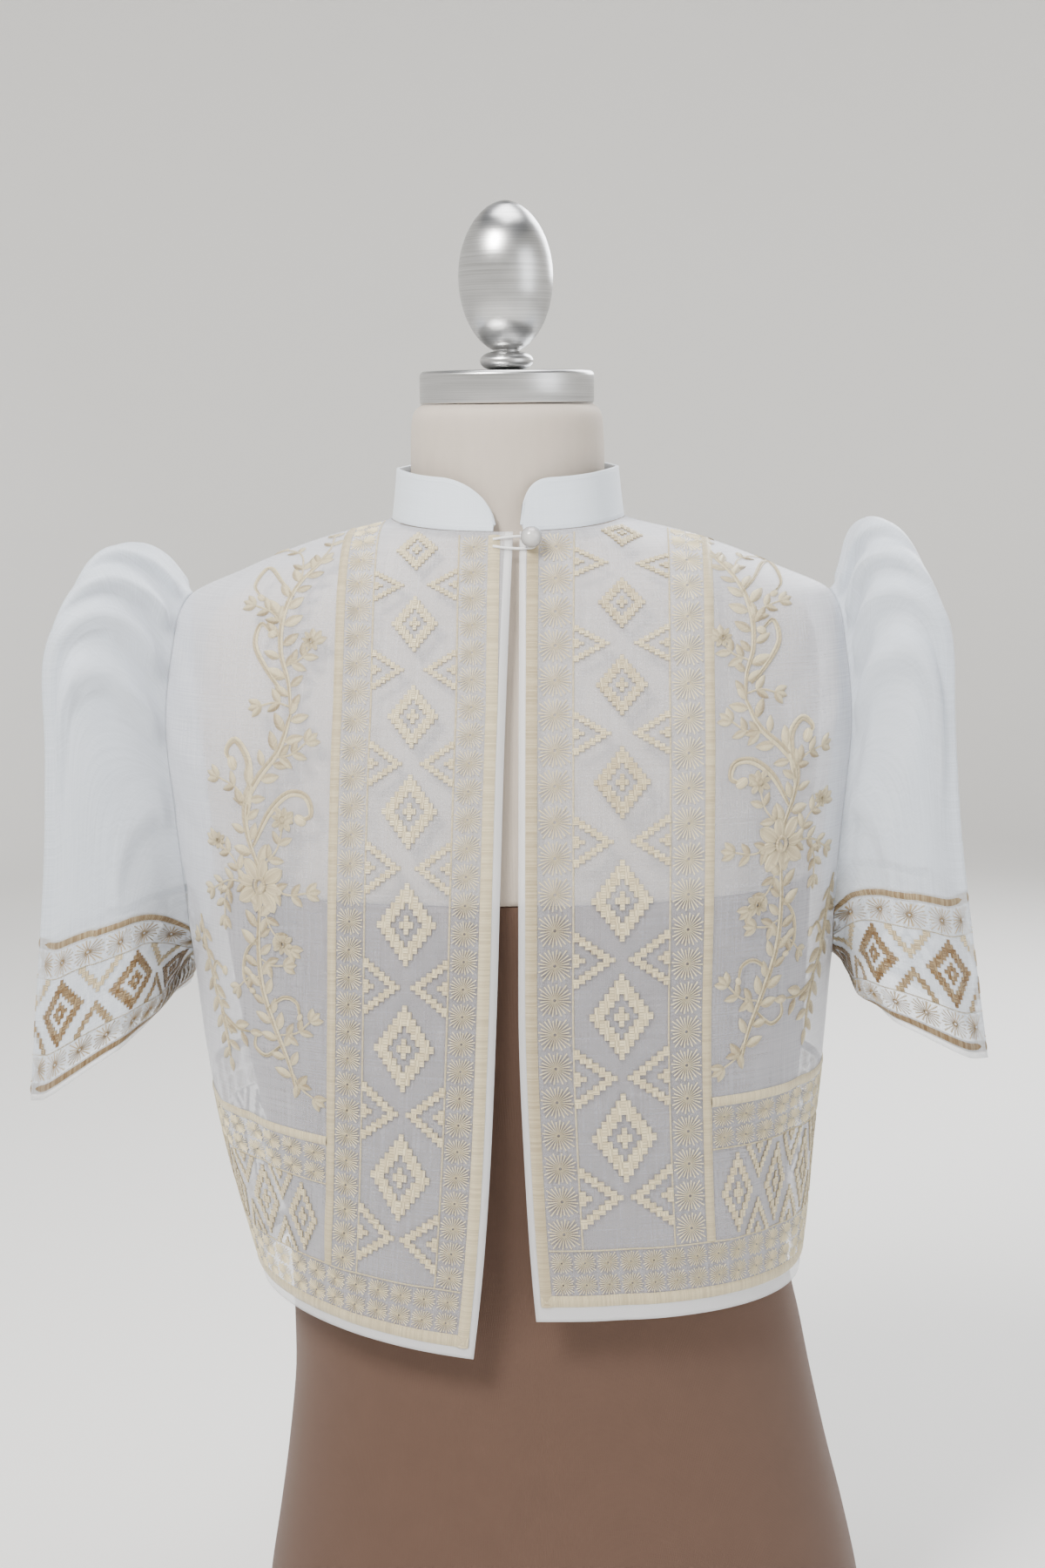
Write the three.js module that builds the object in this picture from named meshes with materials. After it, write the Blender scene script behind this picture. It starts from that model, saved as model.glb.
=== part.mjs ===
// A sheer cropped bolero with butterfly sleeves and a stand collar, on a limbless dress form.
// Millimetres. +Z is up, the wearer faces -Y and the wearer's left is +X. Z = 0 is the form's base.

import * as THREE from 'three';

// ---------------------------------------------------------------- driving dimensions

const CLOTH_WALL = 1.2;
const COLLAR_WALL = 1.8;
const SEAM_GAP = 0.3;
const LAID_GAP = 0.3;
const LOOP_CLEARANCE = 0.1;

const SHOULDER_TIP_HEIGHT = 652;
const UNDERARM_HEIGHT = 452;
const ARMHOLE_SCOOP_FRONT = THREE.MathUtils.degToRad(20);
const ARMHOLE_SCOOP_BACK = THREE.MathUtils.degToRad(20);
const ARMHOLE_ROUNDING = 0.8;

const NECK_HEIGHT = { front: 688, side: 693, back: 700 };
const COLLAR_HEIGHT = 27;
const COLLAR_LEAN = 3;
const COLLAR_END_RUN = { left: 14, right: 25 };
const COLLAR_END_SHARE = 0.12;
// How far each collar end stands back from its front's opening edge, round the neck.
const COLLAR_END_SETBACK = { left: 1.5, right: 8 };
const NECK_RADIUS = 60;

// The two fronts hang to slightly different heights, as worn cloth does.
const HEM_HEIGHT = {
  left: { centre: 275, side: 271 },
  right: { centre: 251, side: 270 },
  back_centre: 266,
};
const FRONT_HEM_CURVE = 1.3;

const BUTTON = { radius: 5.6, shank_radius: 1.5, shank_height: 1.4, x: 15, height: 682 };
const LOOP = { thread_radius: 0.7, half_width: 2.9 };

// The upper run of the button loop, from the right front to its end behind the pearl. rise is a share
// of the loop's half width.
const LOOP_RUN = [
  { x: -4.8, rise: 0.6 },
  { x: 2.2, rise: 0.9 },
  { x: 12.6, rise: 1 },
  { x: 16.7, rise: 0.75 },
  { x: 17.6, rise: 0 },
];

// Gathered pleats at the sleeve head. full, fade and length are shares of the way to the cuff.
const PLEATS = {
  pitch: THREE.MathUtils.degToRad(15),
  count: 5,
  depth: 3.2,
  full: 0.05,
  fade: 0.1,
  length: 0.42,
};
const SLEEVE_BACK_DROP = 12;
const SLEEVE_SET = {
  left: { reach: -25, cuff_reach: -13, lift: 7, shorten: 26 },
  right: { reach: -9, cuff_reach: -9, lift: -3, shorten: 0 },
};

const FINIAL = {
  radius: 25.6,
  height: 81,
  neck_angle: 0.22,
  tip_power: 1.08,
  bead_radius: 14.5,
  bead_height: 10,
  bead_angle: 0.35,
  bead_power: 0.6,
};
const NECK_CAP = { radius: 47.4, height: 17.6, edge: 2.2 };
const NECK_TOP_HEIGHT = 754;
// How far a rounded corner's middle lies in from both faces, as a share of its radius.
const ROUND_CORNER = 0.3;

const COVER_JOIN_HEIGHT = 500;

// Distance of the two front edges from the middle plane, measured towards the wearer's left.
const FRONT_EDGES = [
  { height: 240, left: 19, right: -19 },
  { height: 300, left: 14, right: -12 },
  { height: 360, left: 11, right: -7 },
  { height: 430, left: 9, right: -3 },
  { height: 500, left: 9.5, right: 0 },
  { height: 590, left: 9.5, right: 2.5 },
  { height: 700, left: 9, right: 6 },
];

// Level rings through the bolero's body, hem to neck.
const CLOTH_RINGS = [
  { height: 240, half_width: 147.5, front: 110, back: 98, square: 2.25, shift: 10.5 },
  { height: 300, half_width: 159, front: 115, back: 101, square: 2.25, shift: 6 },
  { height: 350, half_width: 167, front: 119, back: 104, square: 2.25, shift: 2 },
  { height: 400, half_width: 173.5, front: 123, back: 107, square: 2.3, shift: 0.5 },
  { height: 450, half_width: 178, front: 126, back: 110, square: 2.35, shift: 0 },
  { height: 500, half_width: 184, front: 127, back: 112, square: 2.4, shift: 0 },
  { height: 545, half_width: 190, front: 118, back: 114, square: 2.45, shift: 0 },
  { height: 585, half_width: 193, front: 106, back: 112, square: 2.5, shift: 0 },
  { height: 622, half_width: 188, front: 92, back: 105, square: 2.4, shift: 0 },
  { height: 652, half_width: 176, front: 80, back: 95, square: 2.2, shift: 0 },
  { height: 666, half_width: 146, front: 73, back: 88, square: 2.15, shift: 0 },
  { height: 676, half_width: 122, front: 67.5, back: 82, square: 2.1, shift: 0 },
  { height: 684, half_width: 98, front: 63, back: 76.5, square: 2.05, shift: 0 },
  { height: 689, half_width: 78, front: 60, back: 72, square: 2, shift: 0 },
  { height: 693, half_width: 64, front: 58.5, back: 67, square: 2, shift: 0 },
  { height: 699, half_width: 62, front: 57.5, back: 62.5, square: 2, shift: 0 },
  { height: 710, half_width: 61, front: 57, back: 61.5, square: 2, shift: 0 },
];

// Level rings through the dress form, hip to neck.
const FORM_RINGS = [
  { height: 0, half_width: 178, front: 112, back: 128, square: 2.2, shift: 26 },
  { height: 40, half_width: 176, front: 112, back: 129, square: 2.2, shift: 26 },
  { height: 80, half_width: 171.5, front: 110, back: 126, square: 2.2, shift: 25.5 },
  { height: 120, half_width: 164, front: 105, back: 118, square: 2.2, shift: 24.5 },
  { height: 160, half_width: 156, front: 100, back: 106, square: 2.2, shift: 22.5 },
  { height: 205, half_width: 148.5, front: 95, back: 94, square: 2.2, shift: 20 },
  { height: 238, half_width: 145, front: 93, back: 88, square: 2.2, shift: 17 },
  { height: 263, half_width: 142.5, front: 93, back: 87, square: 2.2, shift: 14 },
  { height: 290, half_width: 142, front: 96, back: 88, square: 2.2, shift: 12 },
  { height: 340, half_width: 147, front: 103, back: 93, square: 2.2, shift: 9 },
  { height: 400, half_width: 156, front: 112, back: 99, square: 2.25, shift: 6 },
  { height: 450, half_width: 161, front: 117, back: 103, square: 2.3, shift: 3.5 },
  { height: 500, half_width: 165, front: 119, back: 105, square: 2.3, shift: 1.5 },
  { height: 545, half_width: 168, front: 110, back: 107, square: 2.35, shift: 0 },
  { height: 585, half_width: 170, front: 98, back: 105, square: 2.4, shift: 0 },
  { height: 620, half_width: 169, front: 84, back: 98, square: 2.35, shift: 0 },
  { height: 643, half_width: 162, front: 74, back: 89, square: 2.2, shift: 0 },
  { height: 657, half_width: 143, front: 69, back: 83, square: 2.1, shift: 0 },
  { height: 669, half_width: 117, front: 63, back: 76, square: 2.05, shift: 0 },
  { height: 678, half_width: 92, front: 58, back: 69, square: 2, shift: 0 },
  { height: 684, half_width: 71, front: 55, back: 63, square: 2, shift: 0 },
  { height: 690, half_width: 59, front: 53.5, back: 58.5, square: 2, shift: 0 },
  { height: 702, half_width: 54, front: 52.6, back: 54, square: 2, shift: 0 },
  { height: 735, half_width: 52.6, front: 52, back: 52, square: 2, shift: 0 },
  { height: 747, half_width: 51.8, front: 51.4, back: 51.4, square: 2, shift: 0 },
  { height: 752, half_width: 49.6, front: 49.4, back: 49.4, square: 2, shift: 0 },
  { height: 754, half_width: 46.5, front: 46.3, back: 46.3, square: 2, shift: 0 },
];

// Closed loops along one sleeve, armhole to cuff, given by their outermost and innermost points.
const SLEEVE_LOOPS = [
  { along: 0, outer_x: 176, outer_z: 652, inner_x: 173, inner_z: 452, front: 56, back: 60, square: 2.1 },
  { along: 0.1, outer_x: 200, outer_z: 676, inner_x: 181, inner_z: 447, front: 63, back: 67, square: 2.3 },
  { along: 0.22, outer_x: 226, outer_z: 682, inner_x: 186, inner_z: 442, front: 70, back: 76, square: 2.9 },
  { along: 0.36, outer_x: 245, outer_z: 655, inner_x: 189, inner_z: 438, front: 76, back: 84, square: 3.8 },
  { along: 0.52, outer_x: 251, outer_z: 595, inner_x: 190, inner_z: 434, front: 80, back: 90, square: 4.4 },
  { along: 0.7, outer_x: 255, outer_z: 520, inner_x: 192, inner_z: 430, front: 84, back: 95, square: 4.4 },
  { along: 0.85, outer_x: 262, outer_z: 446, inner_x: 194, inner_z: 427, front: 87, back: 99, square: 4 },
  { along: 1, outer_x: 268, outer_z: 380, inner_x: 197, inner_z: 424, front: 89, back: 102, square: 3.8 },
];

const SHOULDER_ROWS = 5;
const BELOW_ROWS = 7;
const FRONT_COLUMNS = 12;
const BACK_COLUMNS = 20;
const SLEEVE_ROWS = [0, 0.035, 0.08, 0.14, 0.2, 0.27, 0.35, 0.45, 0.58, 0.72, 0.86, 1];
const FORM_SIDES = 32;
const ROUND_SIDES = 24;
const BUTTON_SIDES = 14;

// Seam edges are the first and last of a panel's evenly shared columns.
const SEAM_SHARE = 0.999;

const HALF_TURN = Math.PI;
const QUARTER_TURN = Math.PI / 2;

// ---------------------------------------------------------------- tables and surfaces

// Reads every column of a table at one place, on a smooth curve through its rows.
function readTable(table, key, at) {
  let lower = 0;
  while (lower < table.length - 2 && at > table[lower + 1][key]) {
    lower += 1;
  }
  const low = table[lower];
  const high = table[lower + 1];
  const before = table[Math.max(lower - 1, 0)];
  const after = table[Math.min(lower + 2, table.length - 1)];
  const span = high[key] - low[key];
  const share = THREE.MathUtils.clamp((at - low[key]) / span, 0, 1);
  const result = { [key]: at };
  for (const column of Object.keys(low)) {
    if (column === key) {
      continue;
    }
    const slope_low = (high[column] - before[column]) / (high[key] - before[key]);
    const slope_high = (after[column] - low[column]) / (after[key] - low[key]);
    result[column] = hermite(low[column], slope_low * span, high[column], slope_high * span, share);
  }
  return result;
}

function hermite(start, start_slope, end, end_slope, share) {
  const square = share * share;
  const cube = square * share;
  return (2 * cube - 3 * square + 1) * start
    + (cube - 2 * square + share) * start_slope
    + (3 * square - 2 * cube) * end
    + (cube - square) * end_slope;
}

function signedPower(value, power) {
  return Math.sign(value) * Math.abs(value) ** power;
}

// A point on a ringed body: angle 0 is the centre front, a quarter turn is the wearer's left side.
function ringPoint(rings, angle, height) {
  const ring = readTable(rings, 'height', height);
  const power = 2 / ring.square;
  const depth = Math.cos(angle) > 0 ? ring.front : ring.back;
  return new THREE.Vector3(
    ring.shift + ring.half_width * signedPower(Math.sin(angle), power),
    -depth * signedPower(Math.cos(angle), power),
    height,
  );
}

function ringNormal(rings, angle, height) {
  const step = 0.02;
  const rise = 1.5;
  const around = ringPoint(rings, angle + step, height).sub(ringPoint(rings, angle - step, height));
  const upward = ringPoint(rings, angle, height + rise).sub(ringPoint(rings, angle, height - rise));
  return around.cross(upward).normalize();
}

// The ring angle at which the cloth lies a given distance from the middle plane, in front.
function angleAtX(x, height) {
  const ring = readTable(CLOTH_RINGS, 'height', height);
  return Math.asin(signedPower((x - ring.shift) / ring.half_width, ring.square / 2));
}

function neckHeight(angle) {
  const side = Math.sin(angle) ** 2;
  const middle = Math.cos(angle) > 0 ? NECK_HEIGHT.front : NECK_HEIGHT.back;
  return middle + (NECK_HEIGHT.side - middle) * side;
}

// ---------------------------------------------------------------- closed shells

// Closes the space between an outer and an inner grid of points. Rows run along, columns across.
function shellGeometry(outer, inner, wraps) {
  const rows = outer.length;
  const columns = outer[0].length;
  const points = [...outer.flat(), ...inner.flat()];
  const faces = [];
  const outside = (row, column) => row * columns + (column % columns);
  const inside = (row, column) => rows * columns + outside(row, column);
  const quad = (a, b, c, d) => faces.push(a, b, c, a, c, d);
  const last_column = wraps ? columns : columns - 1;
  for (let row = 0; row < rows - 1; row += 1) {
    for (let column = 0; column < last_column; column += 1) {
      quad(outside(row, column), outside(row + 1, column),
        outside(row + 1, column + 1), outside(row, column + 1));
      quad(inside(row, column), inside(row, column + 1),
        inside(row + 1, column + 1), inside(row + 1, column));
    }
  }
  for (let column = 0; column < last_column; column += 1) {
    quad(outside(0, column), outside(0, column + 1), inside(0, column + 1), inside(0, column));
    quad(outside(rows - 1, column + 1), outside(rows - 1, column),
      inside(rows - 1, column), inside(rows - 1, column + 1));
  }
  if (!wraps) {
    for (let row = 0; row < rows - 1; row += 1) {
      quad(outside(row + 1, 0), outside(row, 0), inside(row, 0), inside(row + 1, 0));
      quad(outside(row, columns - 1), outside(row + 1, columns - 1),
        inside(row + 1, columns - 1), inside(row, columns - 1));
    }
  }
  return indexedGeometry(points, faces);
}

function indexedGeometry(points, faces) {
  const geometry = new THREE.BufferGeometry();
  const coordinates = points.flatMap((point) => point.toArray());
  geometry.setAttribute('position', new THREE.Float32BufferAttribute(coordinates, 3));
  geometry.setIndex(faces);
  geometry.computeVertexNormals();
  return geometry;
}

// A solid body through level rings, closed by a flat face at each end.
function ringedSolid(rings, heights) {
  const points = [];
  const faces = [];
  for (const height of heights) {
    for (let side = 0; side < FORM_SIDES; side += 1) {
      points.push(ringPoint(rings, (side / FORM_SIDES) * 2 * Math.PI, height));
    }
  }
  const base = points.push(new THREE.Vector3(0, 0, heights[0])) - 1;
  const crown = points.push(new THREE.Vector3(0, 0, heights[heights.length - 1])) - 1;
  const top_row = (heights.length - 1) * FORM_SIDES;
  for (let side = 0; side < FORM_SIDES; side += 1) {
    const next = (side + 1) % FORM_SIDES;
    for (let row = 0; row < heights.length - 1; row += 1) {
      const low = row * FORM_SIDES;
      const high = low + FORM_SIDES;
      faces.push(low + side, low + next, high + next, low + side, high + next, high + side);
    }
    faces.push(base, next, side, crown, top_row + side, top_row + next);
  }
  return indexedGeometry(points, faces);
}

// ---------------------------------------------------------------- bolero body

// Angles round the armhole: 0 at the shoulder tip, a half turn at the underarm. Finer at the pleats.
function armholeAngles() {
  const angles = [];
  const fine = PLEATS.pitch / 2;
  for (let angle = 0; angle < QUARTER_TURN - fine / 2; angle += fine) {
    angles.push(angle);
  }
  for (let angle = QUARTER_TURN; angle < HALF_TURN + fine / 2; angle += PLEATS.pitch) {
    angles.push(angle);
  }
  return angles;
}

function armholeHeight(angle) {
  const middle = (SHOULDER_TIP_HEIGHT + UNDERARM_HEIGHT) / 2;
  return middle + (SHOULDER_TIP_HEIGHT - middle) * Math.cos(angle);
}

// How far the armhole's edge is scooped away from the side, as a ring angle.
function armholeScoop(angle, scoop) {
  return scoop * Math.max(Math.sin(angle), 0) ** ARMHOLE_ROUNDING;
}

// A point on one armhole's edge. side is +1 on the wearer's left. Angles past a half turn are behind.
function armholePoint(angle, side) {
  const is_front = angle <= HALF_TURN;
  const folded = is_front ? angle : 2 * HALF_TURN - angle;
  const scoop = armholeScoop(folded, is_front ? ARMHOLE_SCOOP_FRONT : ARMHOLE_SCOOP_BACK);
  const ring_angle = is_front ? QUARTER_TURN - scoop : QUARTER_TURN + scoop;
  const point = ringPoint(CLOTH_RINGS, ring_angle, armholeHeight(folded));
  point.x *= side;
  return point;
}

// The rows of a body panel: a rule for the height at a ring angle, and the scoop at its outer edge.
function bodyRows(scoop, hemHeight) {
  const rows = [];
  for (let row = 0; row < SHOULDER_ROWS; row += 1) {
    const share = 1 - row / SHOULDER_ROWS;
    rows.push({
      height: (angle) => SHOULDER_TIP_HEIGHT + (neckHeight(angle) - SHOULDER_TIP_HEIGHT) * share,
      scoop: 0,
    });
  }
  for (const angle of armholeAngles()) {
    rows.push({ height: () => armholeHeight(angle), scoop: armholeScoop(angle, scoop) });
  }
  for (let row = 1; row <= BELOW_ROWS; row += 1) {
    const share = row / BELOW_ROWS;
    rows.push({
      height: (angle) => UNDERARM_HEIGHT + (hemHeight(angle) - UNDERARM_HEIGHT) * share,
      scoop: 0,
    });
  }
  return rows;
}

// Lays a grid on the cloth surface and a second one inside it, a wall's thickness away.
function bodyPanel(rows, columns, angleLimits, seam_shift) {
  const outer = [];
  const inner = [];
  for (const row of rows) {
    const outer_row = [];
    const inner_row = [];
    for (let column = 0; column <= columns; column += 1) {
      const share = column / columns;
      const angle = angleLimits(row, share);
      const height = row.height(angle);
      const point = ringPoint(CLOTH_RINGS, angle, height);
      point.y += seam_shift(share);
      outer_row.push(point);
      const normal = ringNormal(CLOTH_RINGS, angle, height);
      inner_row.push(point.clone().addScaledVector(normal, -CLOTH_WALL));
    }
    outer.push(outer_row);
    inner.push(inner_row);
  }
  return shellGeometry(outer, inner, false);
}

function frontPanel(name, side) {
  const hem = HEM_HEIGHT[name];
  const hemHeight = (angle) => {
    const share = Math.abs(Math.sin(angle)) ** FRONT_HEM_CURVE;
    return hem.centre + (hem.side - hem.centre) * share;
  };
  const rows = bodyRows(ARMHOLE_SCOOP_FRONT, hemHeight);
  const angleLimits = (row, share) => {
    const edge_height = row.height(0);
    const edge = angleAtX(readTable(FRONT_EDGES, 'height', edge_height)[name], edge_height);
    const outer_limit = side * (QUARTER_TURN - row.scoop);
    const ordered = side > 0 ? share : 1 - share;
    return edge + (outer_limit - edge) * ordered;
  };
  const seam_shift = (share) => ((side > 0 ? share : 1 - share) > SEAM_SHARE ? -SEAM_GAP / 2 : 0);
  return bodyPanel(rows, FRONT_COLUMNS, angleLimits, seam_shift);
}

function backPanel() {
  const hemHeight = (angle) => {
    const side = Math.sin(angle) > 0 ? HEM_HEIGHT.left.side : HEM_HEIGHT.right.side;
    return HEM_HEIGHT.back_centre + (side - HEM_HEIGHT.back_centre) * Math.sin(angle) ** 2;
  };
  const rows = bodyRows(ARMHOLE_SCOOP_BACK, hemHeight);
  const angleLimits = (row, share) => {
    const start = QUARTER_TURN + row.scoop;
    return start + (2 * HALF_TURN - 2 * start) * share;
  };
  const seam_shift = (share) => (Math.max(share, 1 - share) > SEAM_SHARE ? SEAM_GAP / 2 : 0);
  return bodyPanel(rows, BACK_COLUMNS, angleLimits, seam_shift);
}

// ---------------------------------------------------------------- sleeves

function sleeveLoopPoint(along, angle, set) {
  const loop = readTable(SLEEVE_LOOPS, 'along', along);
  const settled = THREE.MathUtils.smoothstep(along, 0, 0.2);
  const lifted = settled * (1 - THREE.MathUtils.smoothstep(along, 0.2, 0.75));
  const reach = (set.reach + (set.cuff_reach - set.reach) * along) * settled;
  const outer = new THREE.Vector3(loop.outer_x + reach, 0, loop.outer_z + set.lift * lifted);
  const inner = new THREE.Vector3(loop.inner_x + reach * 0.1, 0, loop.inner_z);
  outer.z += set.shorten * along * along;
  inner.z += set.shorten * along * along * 0.5;
  const half = outer.clone().sub(inner).multiplyScalar(0.5);
  const power = 2 / loop.square;
  const depth = Math.sin(angle) > 0 ? loop.front : loop.back;
  const point = inner.add(half).addScaledVector(half, signedPower(Math.cos(angle), power));
  point.y = -depth * signedPower(Math.sin(angle), power);
  point.z -= SLEEVE_BACK_DROP * along * along * Math.max(0, point.y / loop.back);
  return point;
}

// The height of the gathered pleats over the smooth sleeve: full at the seam, gone at their length.
function pleatHeight(along, angle) {
  const from_tip = Math.min(angle, 2 * HALF_TURN - angle);
  if (from_tip > PLEATS.count * PLEATS.pitch) {
    return 0;
  }
  const start = THREE.MathUtils.smoothstep(along, 0, PLEATS.full);
  const end = 1 - THREE.MathUtils.smoothstep(along, PLEATS.fade, PLEATS.length);
  const wave = 1 - Math.cos((2 * HALF_TURN * from_tip) / PLEATS.pitch);
  return (PLEATS.depth / 2) * wave * start * end;
}

// A point on the smooth sleeve, which starts on the armhole's edge and settles into its loops.
function sleeveSurface(along, angle, set) {
  const point = sleeveLoopPoint(along, angle, set);
  const start = armholePoint(angle, 1);
  start.sub(sleeveLoopPoint(0, angle, set));
  start.x += SEAM_GAP;
  return point.addScaledVector(start, (1 - along) ** 3);
}

function sleeveNormal(along, angle, set) {
  const turn = 0.03;
  const run = 0.02;
  const low = Math.max(along - run, 0);
  const high = Math.min(along + run, 1);
  const turned = (shift) => (angle + shift + 4 * HALF_TURN) % (2 * HALF_TURN);
  const around = sleeveSurface(along, turned(turn), set).sub(sleeveSurface(along, turned(-turn), set));
  const onward = sleeveSurface(high, angle, set).sub(sleeveSurface(low, angle, set));
  return around.cross(onward).normalize();
}

function sleeveShell(name, side) {
  const set = SLEEVE_SET[name];
  const front_half = armholeAngles();
  const back_half = front_half.slice(1, -1).map((angle) => 2 * HALF_TURN - angle).reverse();
  const angles = [...front_half, ...back_half];
  if (side > 0) {
    angles.reverse();
  }
  const outer = [];
  const inner = [];
  for (const along of SLEEVE_ROWS) {
    const outer_row = [];
    const inner_row = [];
    for (const angle of angles) {
      const normal = sleeveNormal(along, angle, set);
      const point = sleeveSurface(along, angle, set);
      point.addScaledVector(normal, pleatHeight(along, angle));
      const inside = point.clone().addScaledVector(normal, -CLOTH_WALL);
      point.x *= side;
      inside.x *= side;
      outer_row.push(point);
      inner_row.push(inside);
    }
    outer.push(outer_row);
    inner.push(inner_row);
  }
  return shellGeometry(outer, inner, true);
}

// ---------------------------------------------------------------- collar, button and loop

// The stand collar's height falls to nothing at its two rounded front ends.
function collarHeight(angle, edge, run) {
  const from_edge = Math.abs(angle - edge) * NECK_RADIUS;
  const share = THREE.MathUtils.clamp(from_edge / run, 0, 1);
  const round = Math.sqrt(1 - (1 - share) ** 2);
  return COLLAR_HEIGHT * (COLLAR_END_SHARE + (1 - COLLAR_END_SHARE) * round);
}

function collarShell() {
  const edge_left = angleAtX(FRONT_EDGES[FRONT_EDGES.length - 1].left, NECK_HEIGHT.front);
  const edge_right = angleAtX(FRONT_EDGES[FRONT_EDGES.length - 1].right, NECK_HEIGHT.front);
  const start = edge_left + COLLAR_END_SETBACK.left / NECK_RADIUS;
  const end = 2 * HALF_TURN + edge_right - COLLAR_END_SETBACK.right / NECK_RADIUS;
  const columns = 48;
  const end_crowding = 0.6;
  const rises = [1, 0.5, 0];
  const angles = [];
  for (let column = 0; column <= columns; column += 1) {
    const share = column / columns;
    const eased = share - (end_crowding * Math.sin(2 * HALF_TURN * share)) / (2 * HALF_TURN);
    angles.push(start + (end - start) * eased);
  }
  const outer = [];
  const inner = [];
  for (const rise of rises) {
    const outer_row = [];
    const inner_row = [];
    for (const angle of angles) {
      const left_height = collarHeight(angle, start, COLLAR_END_RUN.left);
      const right_height = collarHeight(angle, end, COLLAR_END_RUN.right);
      const lift = Math.min(left_height, right_height) * rise;
      const foot_height = neckHeight(angle) + SEAM_GAP;
      const foot = ringPoint(CLOTH_RINGS, angle, foot_height);
      const lean = 1 - (COLLAR_LEAN * lift) / COLLAR_HEIGHT / foot.clone().setZ(0).length();
      const point = new THREE.Vector3(foot.x * lean, foot.y * lean, foot_height + lift);
      const shrink = 1 - COLLAR_WALL / Math.hypot(point.x, point.y);
      outer_row.push(point);
      inner_row.push(new THREE.Vector3(point.x * shrink, point.y * shrink, point.z));
    }
    outer.push(outer_row);
    inner.push(inner_row);
  }
  return shellGeometry(outer, inner, false);
}

// A place on the front of the cloth and the direction straight out of it.
function clothPlace(x, height) {
  const angle = angleAtX(x, height);
  const point = ringPoint(CLOTH_RINGS, angle, height);
  return { point, normal: ringNormal(CLOTH_RINGS, angle, height) };
}

function buttonGeometry() {
  const { radius, shank_radius, shank_height } = BUTTON;
  const profile = [
    new THREE.Vector2(0, 0),
    new THREE.Vector2(shank_radius, 0),
    new THREE.Vector2(shank_radius, shank_height),
  ];
  const steps = 8;
  const joint_angle = Math.asin(shank_radius / radius);
  const centre = shank_height + radius * Math.cos(joint_angle);
  for (let step = 1; step < steps; step += 1) {
    const angle = joint_angle + ((HALF_TURN - joint_angle) * step) / steps;
    profile.push(new THREE.Vector2(radius * Math.sin(angle), centre - radius * Math.cos(angle)));
  }
  profile.push(new THREE.Vector2(0, centre + radius));
  return new THREE.LatheGeometry(profile, BUTTON_SIDES);
}

// The thread loop: from the right front round the button's shank and back.
function loopGeometry() {
  const lift = LAID_GAP + LOOP.thread_radius + LOOP_CLEARANCE;
  const lower_run = LOOP_RUN.slice(0, -1).reverse().map(({ x, rise }) => ({ x, rise: -rise }));
  const route = [...LOOP_RUN, ...lower_run].map(({ x, rise }) => {
    const place = clothPlace(x, BUTTON.height + rise * LOOP.half_width);
    return place.point.addScaledVector(place.normal, lift);
  });
  const section = new THREE.Shape();
  section.absarc(0, 0, LOOP.thread_radius, 0, 2 * HALF_TURN, false);
  return new THREE.ExtrudeGeometry(section, {
    steps: 24,
    curveSegments: 3,
    bevelEnabled: false,
    extrudePath: new THREE.CatmullRomCurve3(route),
  });
}

// ---------------------------------------------------------------- stand top

// The egg on its flattened bead, as half outlines that share a narrow waist.
function finialGeometry() {
  const { radius, height, neck_angle, bead_radius, bead_height, bead_angle } = FINIAL;
  const profile = [new THREE.Vector2(0, 0)];
  const bead_steps = 4;
  for (let step = 0; step <= bead_steps; step += 1) {
    const angle = bead_angle + ((HALF_TURN - 2 * bead_angle) * step) / bead_steps;
    const rise = (bead_height / 2) * (1 - Math.cos(angle) / Math.cos(bead_angle));
    profile.push(new THREE.Vector2(bead_radius * Math.sin(angle) ** FINIAL.bead_power, rise));
  }
  const egg_steps = 13;
  for (let step = 1; step < egg_steps; step += 1) {
    const angle = neck_angle + ((HALF_TURN - neck_angle) * step) / egg_steps;
    const power = angle > QUARTER_TURN ? FINIAL.tip_power : 1;
    const rise = bead_height + (height / 2) * (Math.cos(neck_angle) - Math.cos(angle));
    profile.push(new THREE.Vector2(radius * Math.sin(angle) ** power, rise));
  }
  profile.push(new THREE.Vector2(0, bead_height + (height / 2) * (1 + Math.cos(neck_angle))));
  return new THREE.LatheGeometry(profile, ROUND_SIDES);
}

function neckCapGeometry() {
  const { radius, height, edge } = NECK_CAP;
  const profile = [
    new THREE.Vector2(0, 0),
    new THREE.Vector2(radius - edge / 2, 0),
    new THREE.Vector2(radius, edge / 2),
    new THREE.Vector2(radius, height - edge),
    new THREE.Vector2(radius - edge * ROUND_CORNER, height - edge * ROUND_CORNER),
    new THREE.Vector2(radius - edge, height),
    new THREE.Vector2(0, height),
  ];
  return new THREE.LatheGeometry(profile, ROUND_SIDES);
}

// ---------------------------------------------------------------- assembly

const part = new THREE.Group();

function addPiece(name, geometry, color, roughness, metalness) {
  const material = new THREE.MeshStandardMaterial({ color, roughness, metalness });
  const mesh = new THREE.Mesh(geometry, material);
  mesh.name = name;
  part.add(mesh);
  return mesh;
}

function stand(name, geometry, height, color) {
  const mesh = addPiece(name, geometry, color, 0.32, 1);
  mesh.rotation.x = QUARTER_TURN;
  mesh.position.z = height;
}

const LOWER_HEIGHTS = [
  0, 35, 70, 105, 140, 175, 208, 238, 264, 292, 330, 372, 415, 460, COVER_JOIN_HEIGHT,
];
const UPPER_HEIGHTS = [
  COVER_JOIN_HEIGHT + SEAM_GAP, 530, 562, 592, 616, 634, 647, 658, 667, 675, 681, 686, 691, 702, 730,
  747, 751, NECK_TOP_HEIGHT,
];

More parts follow.
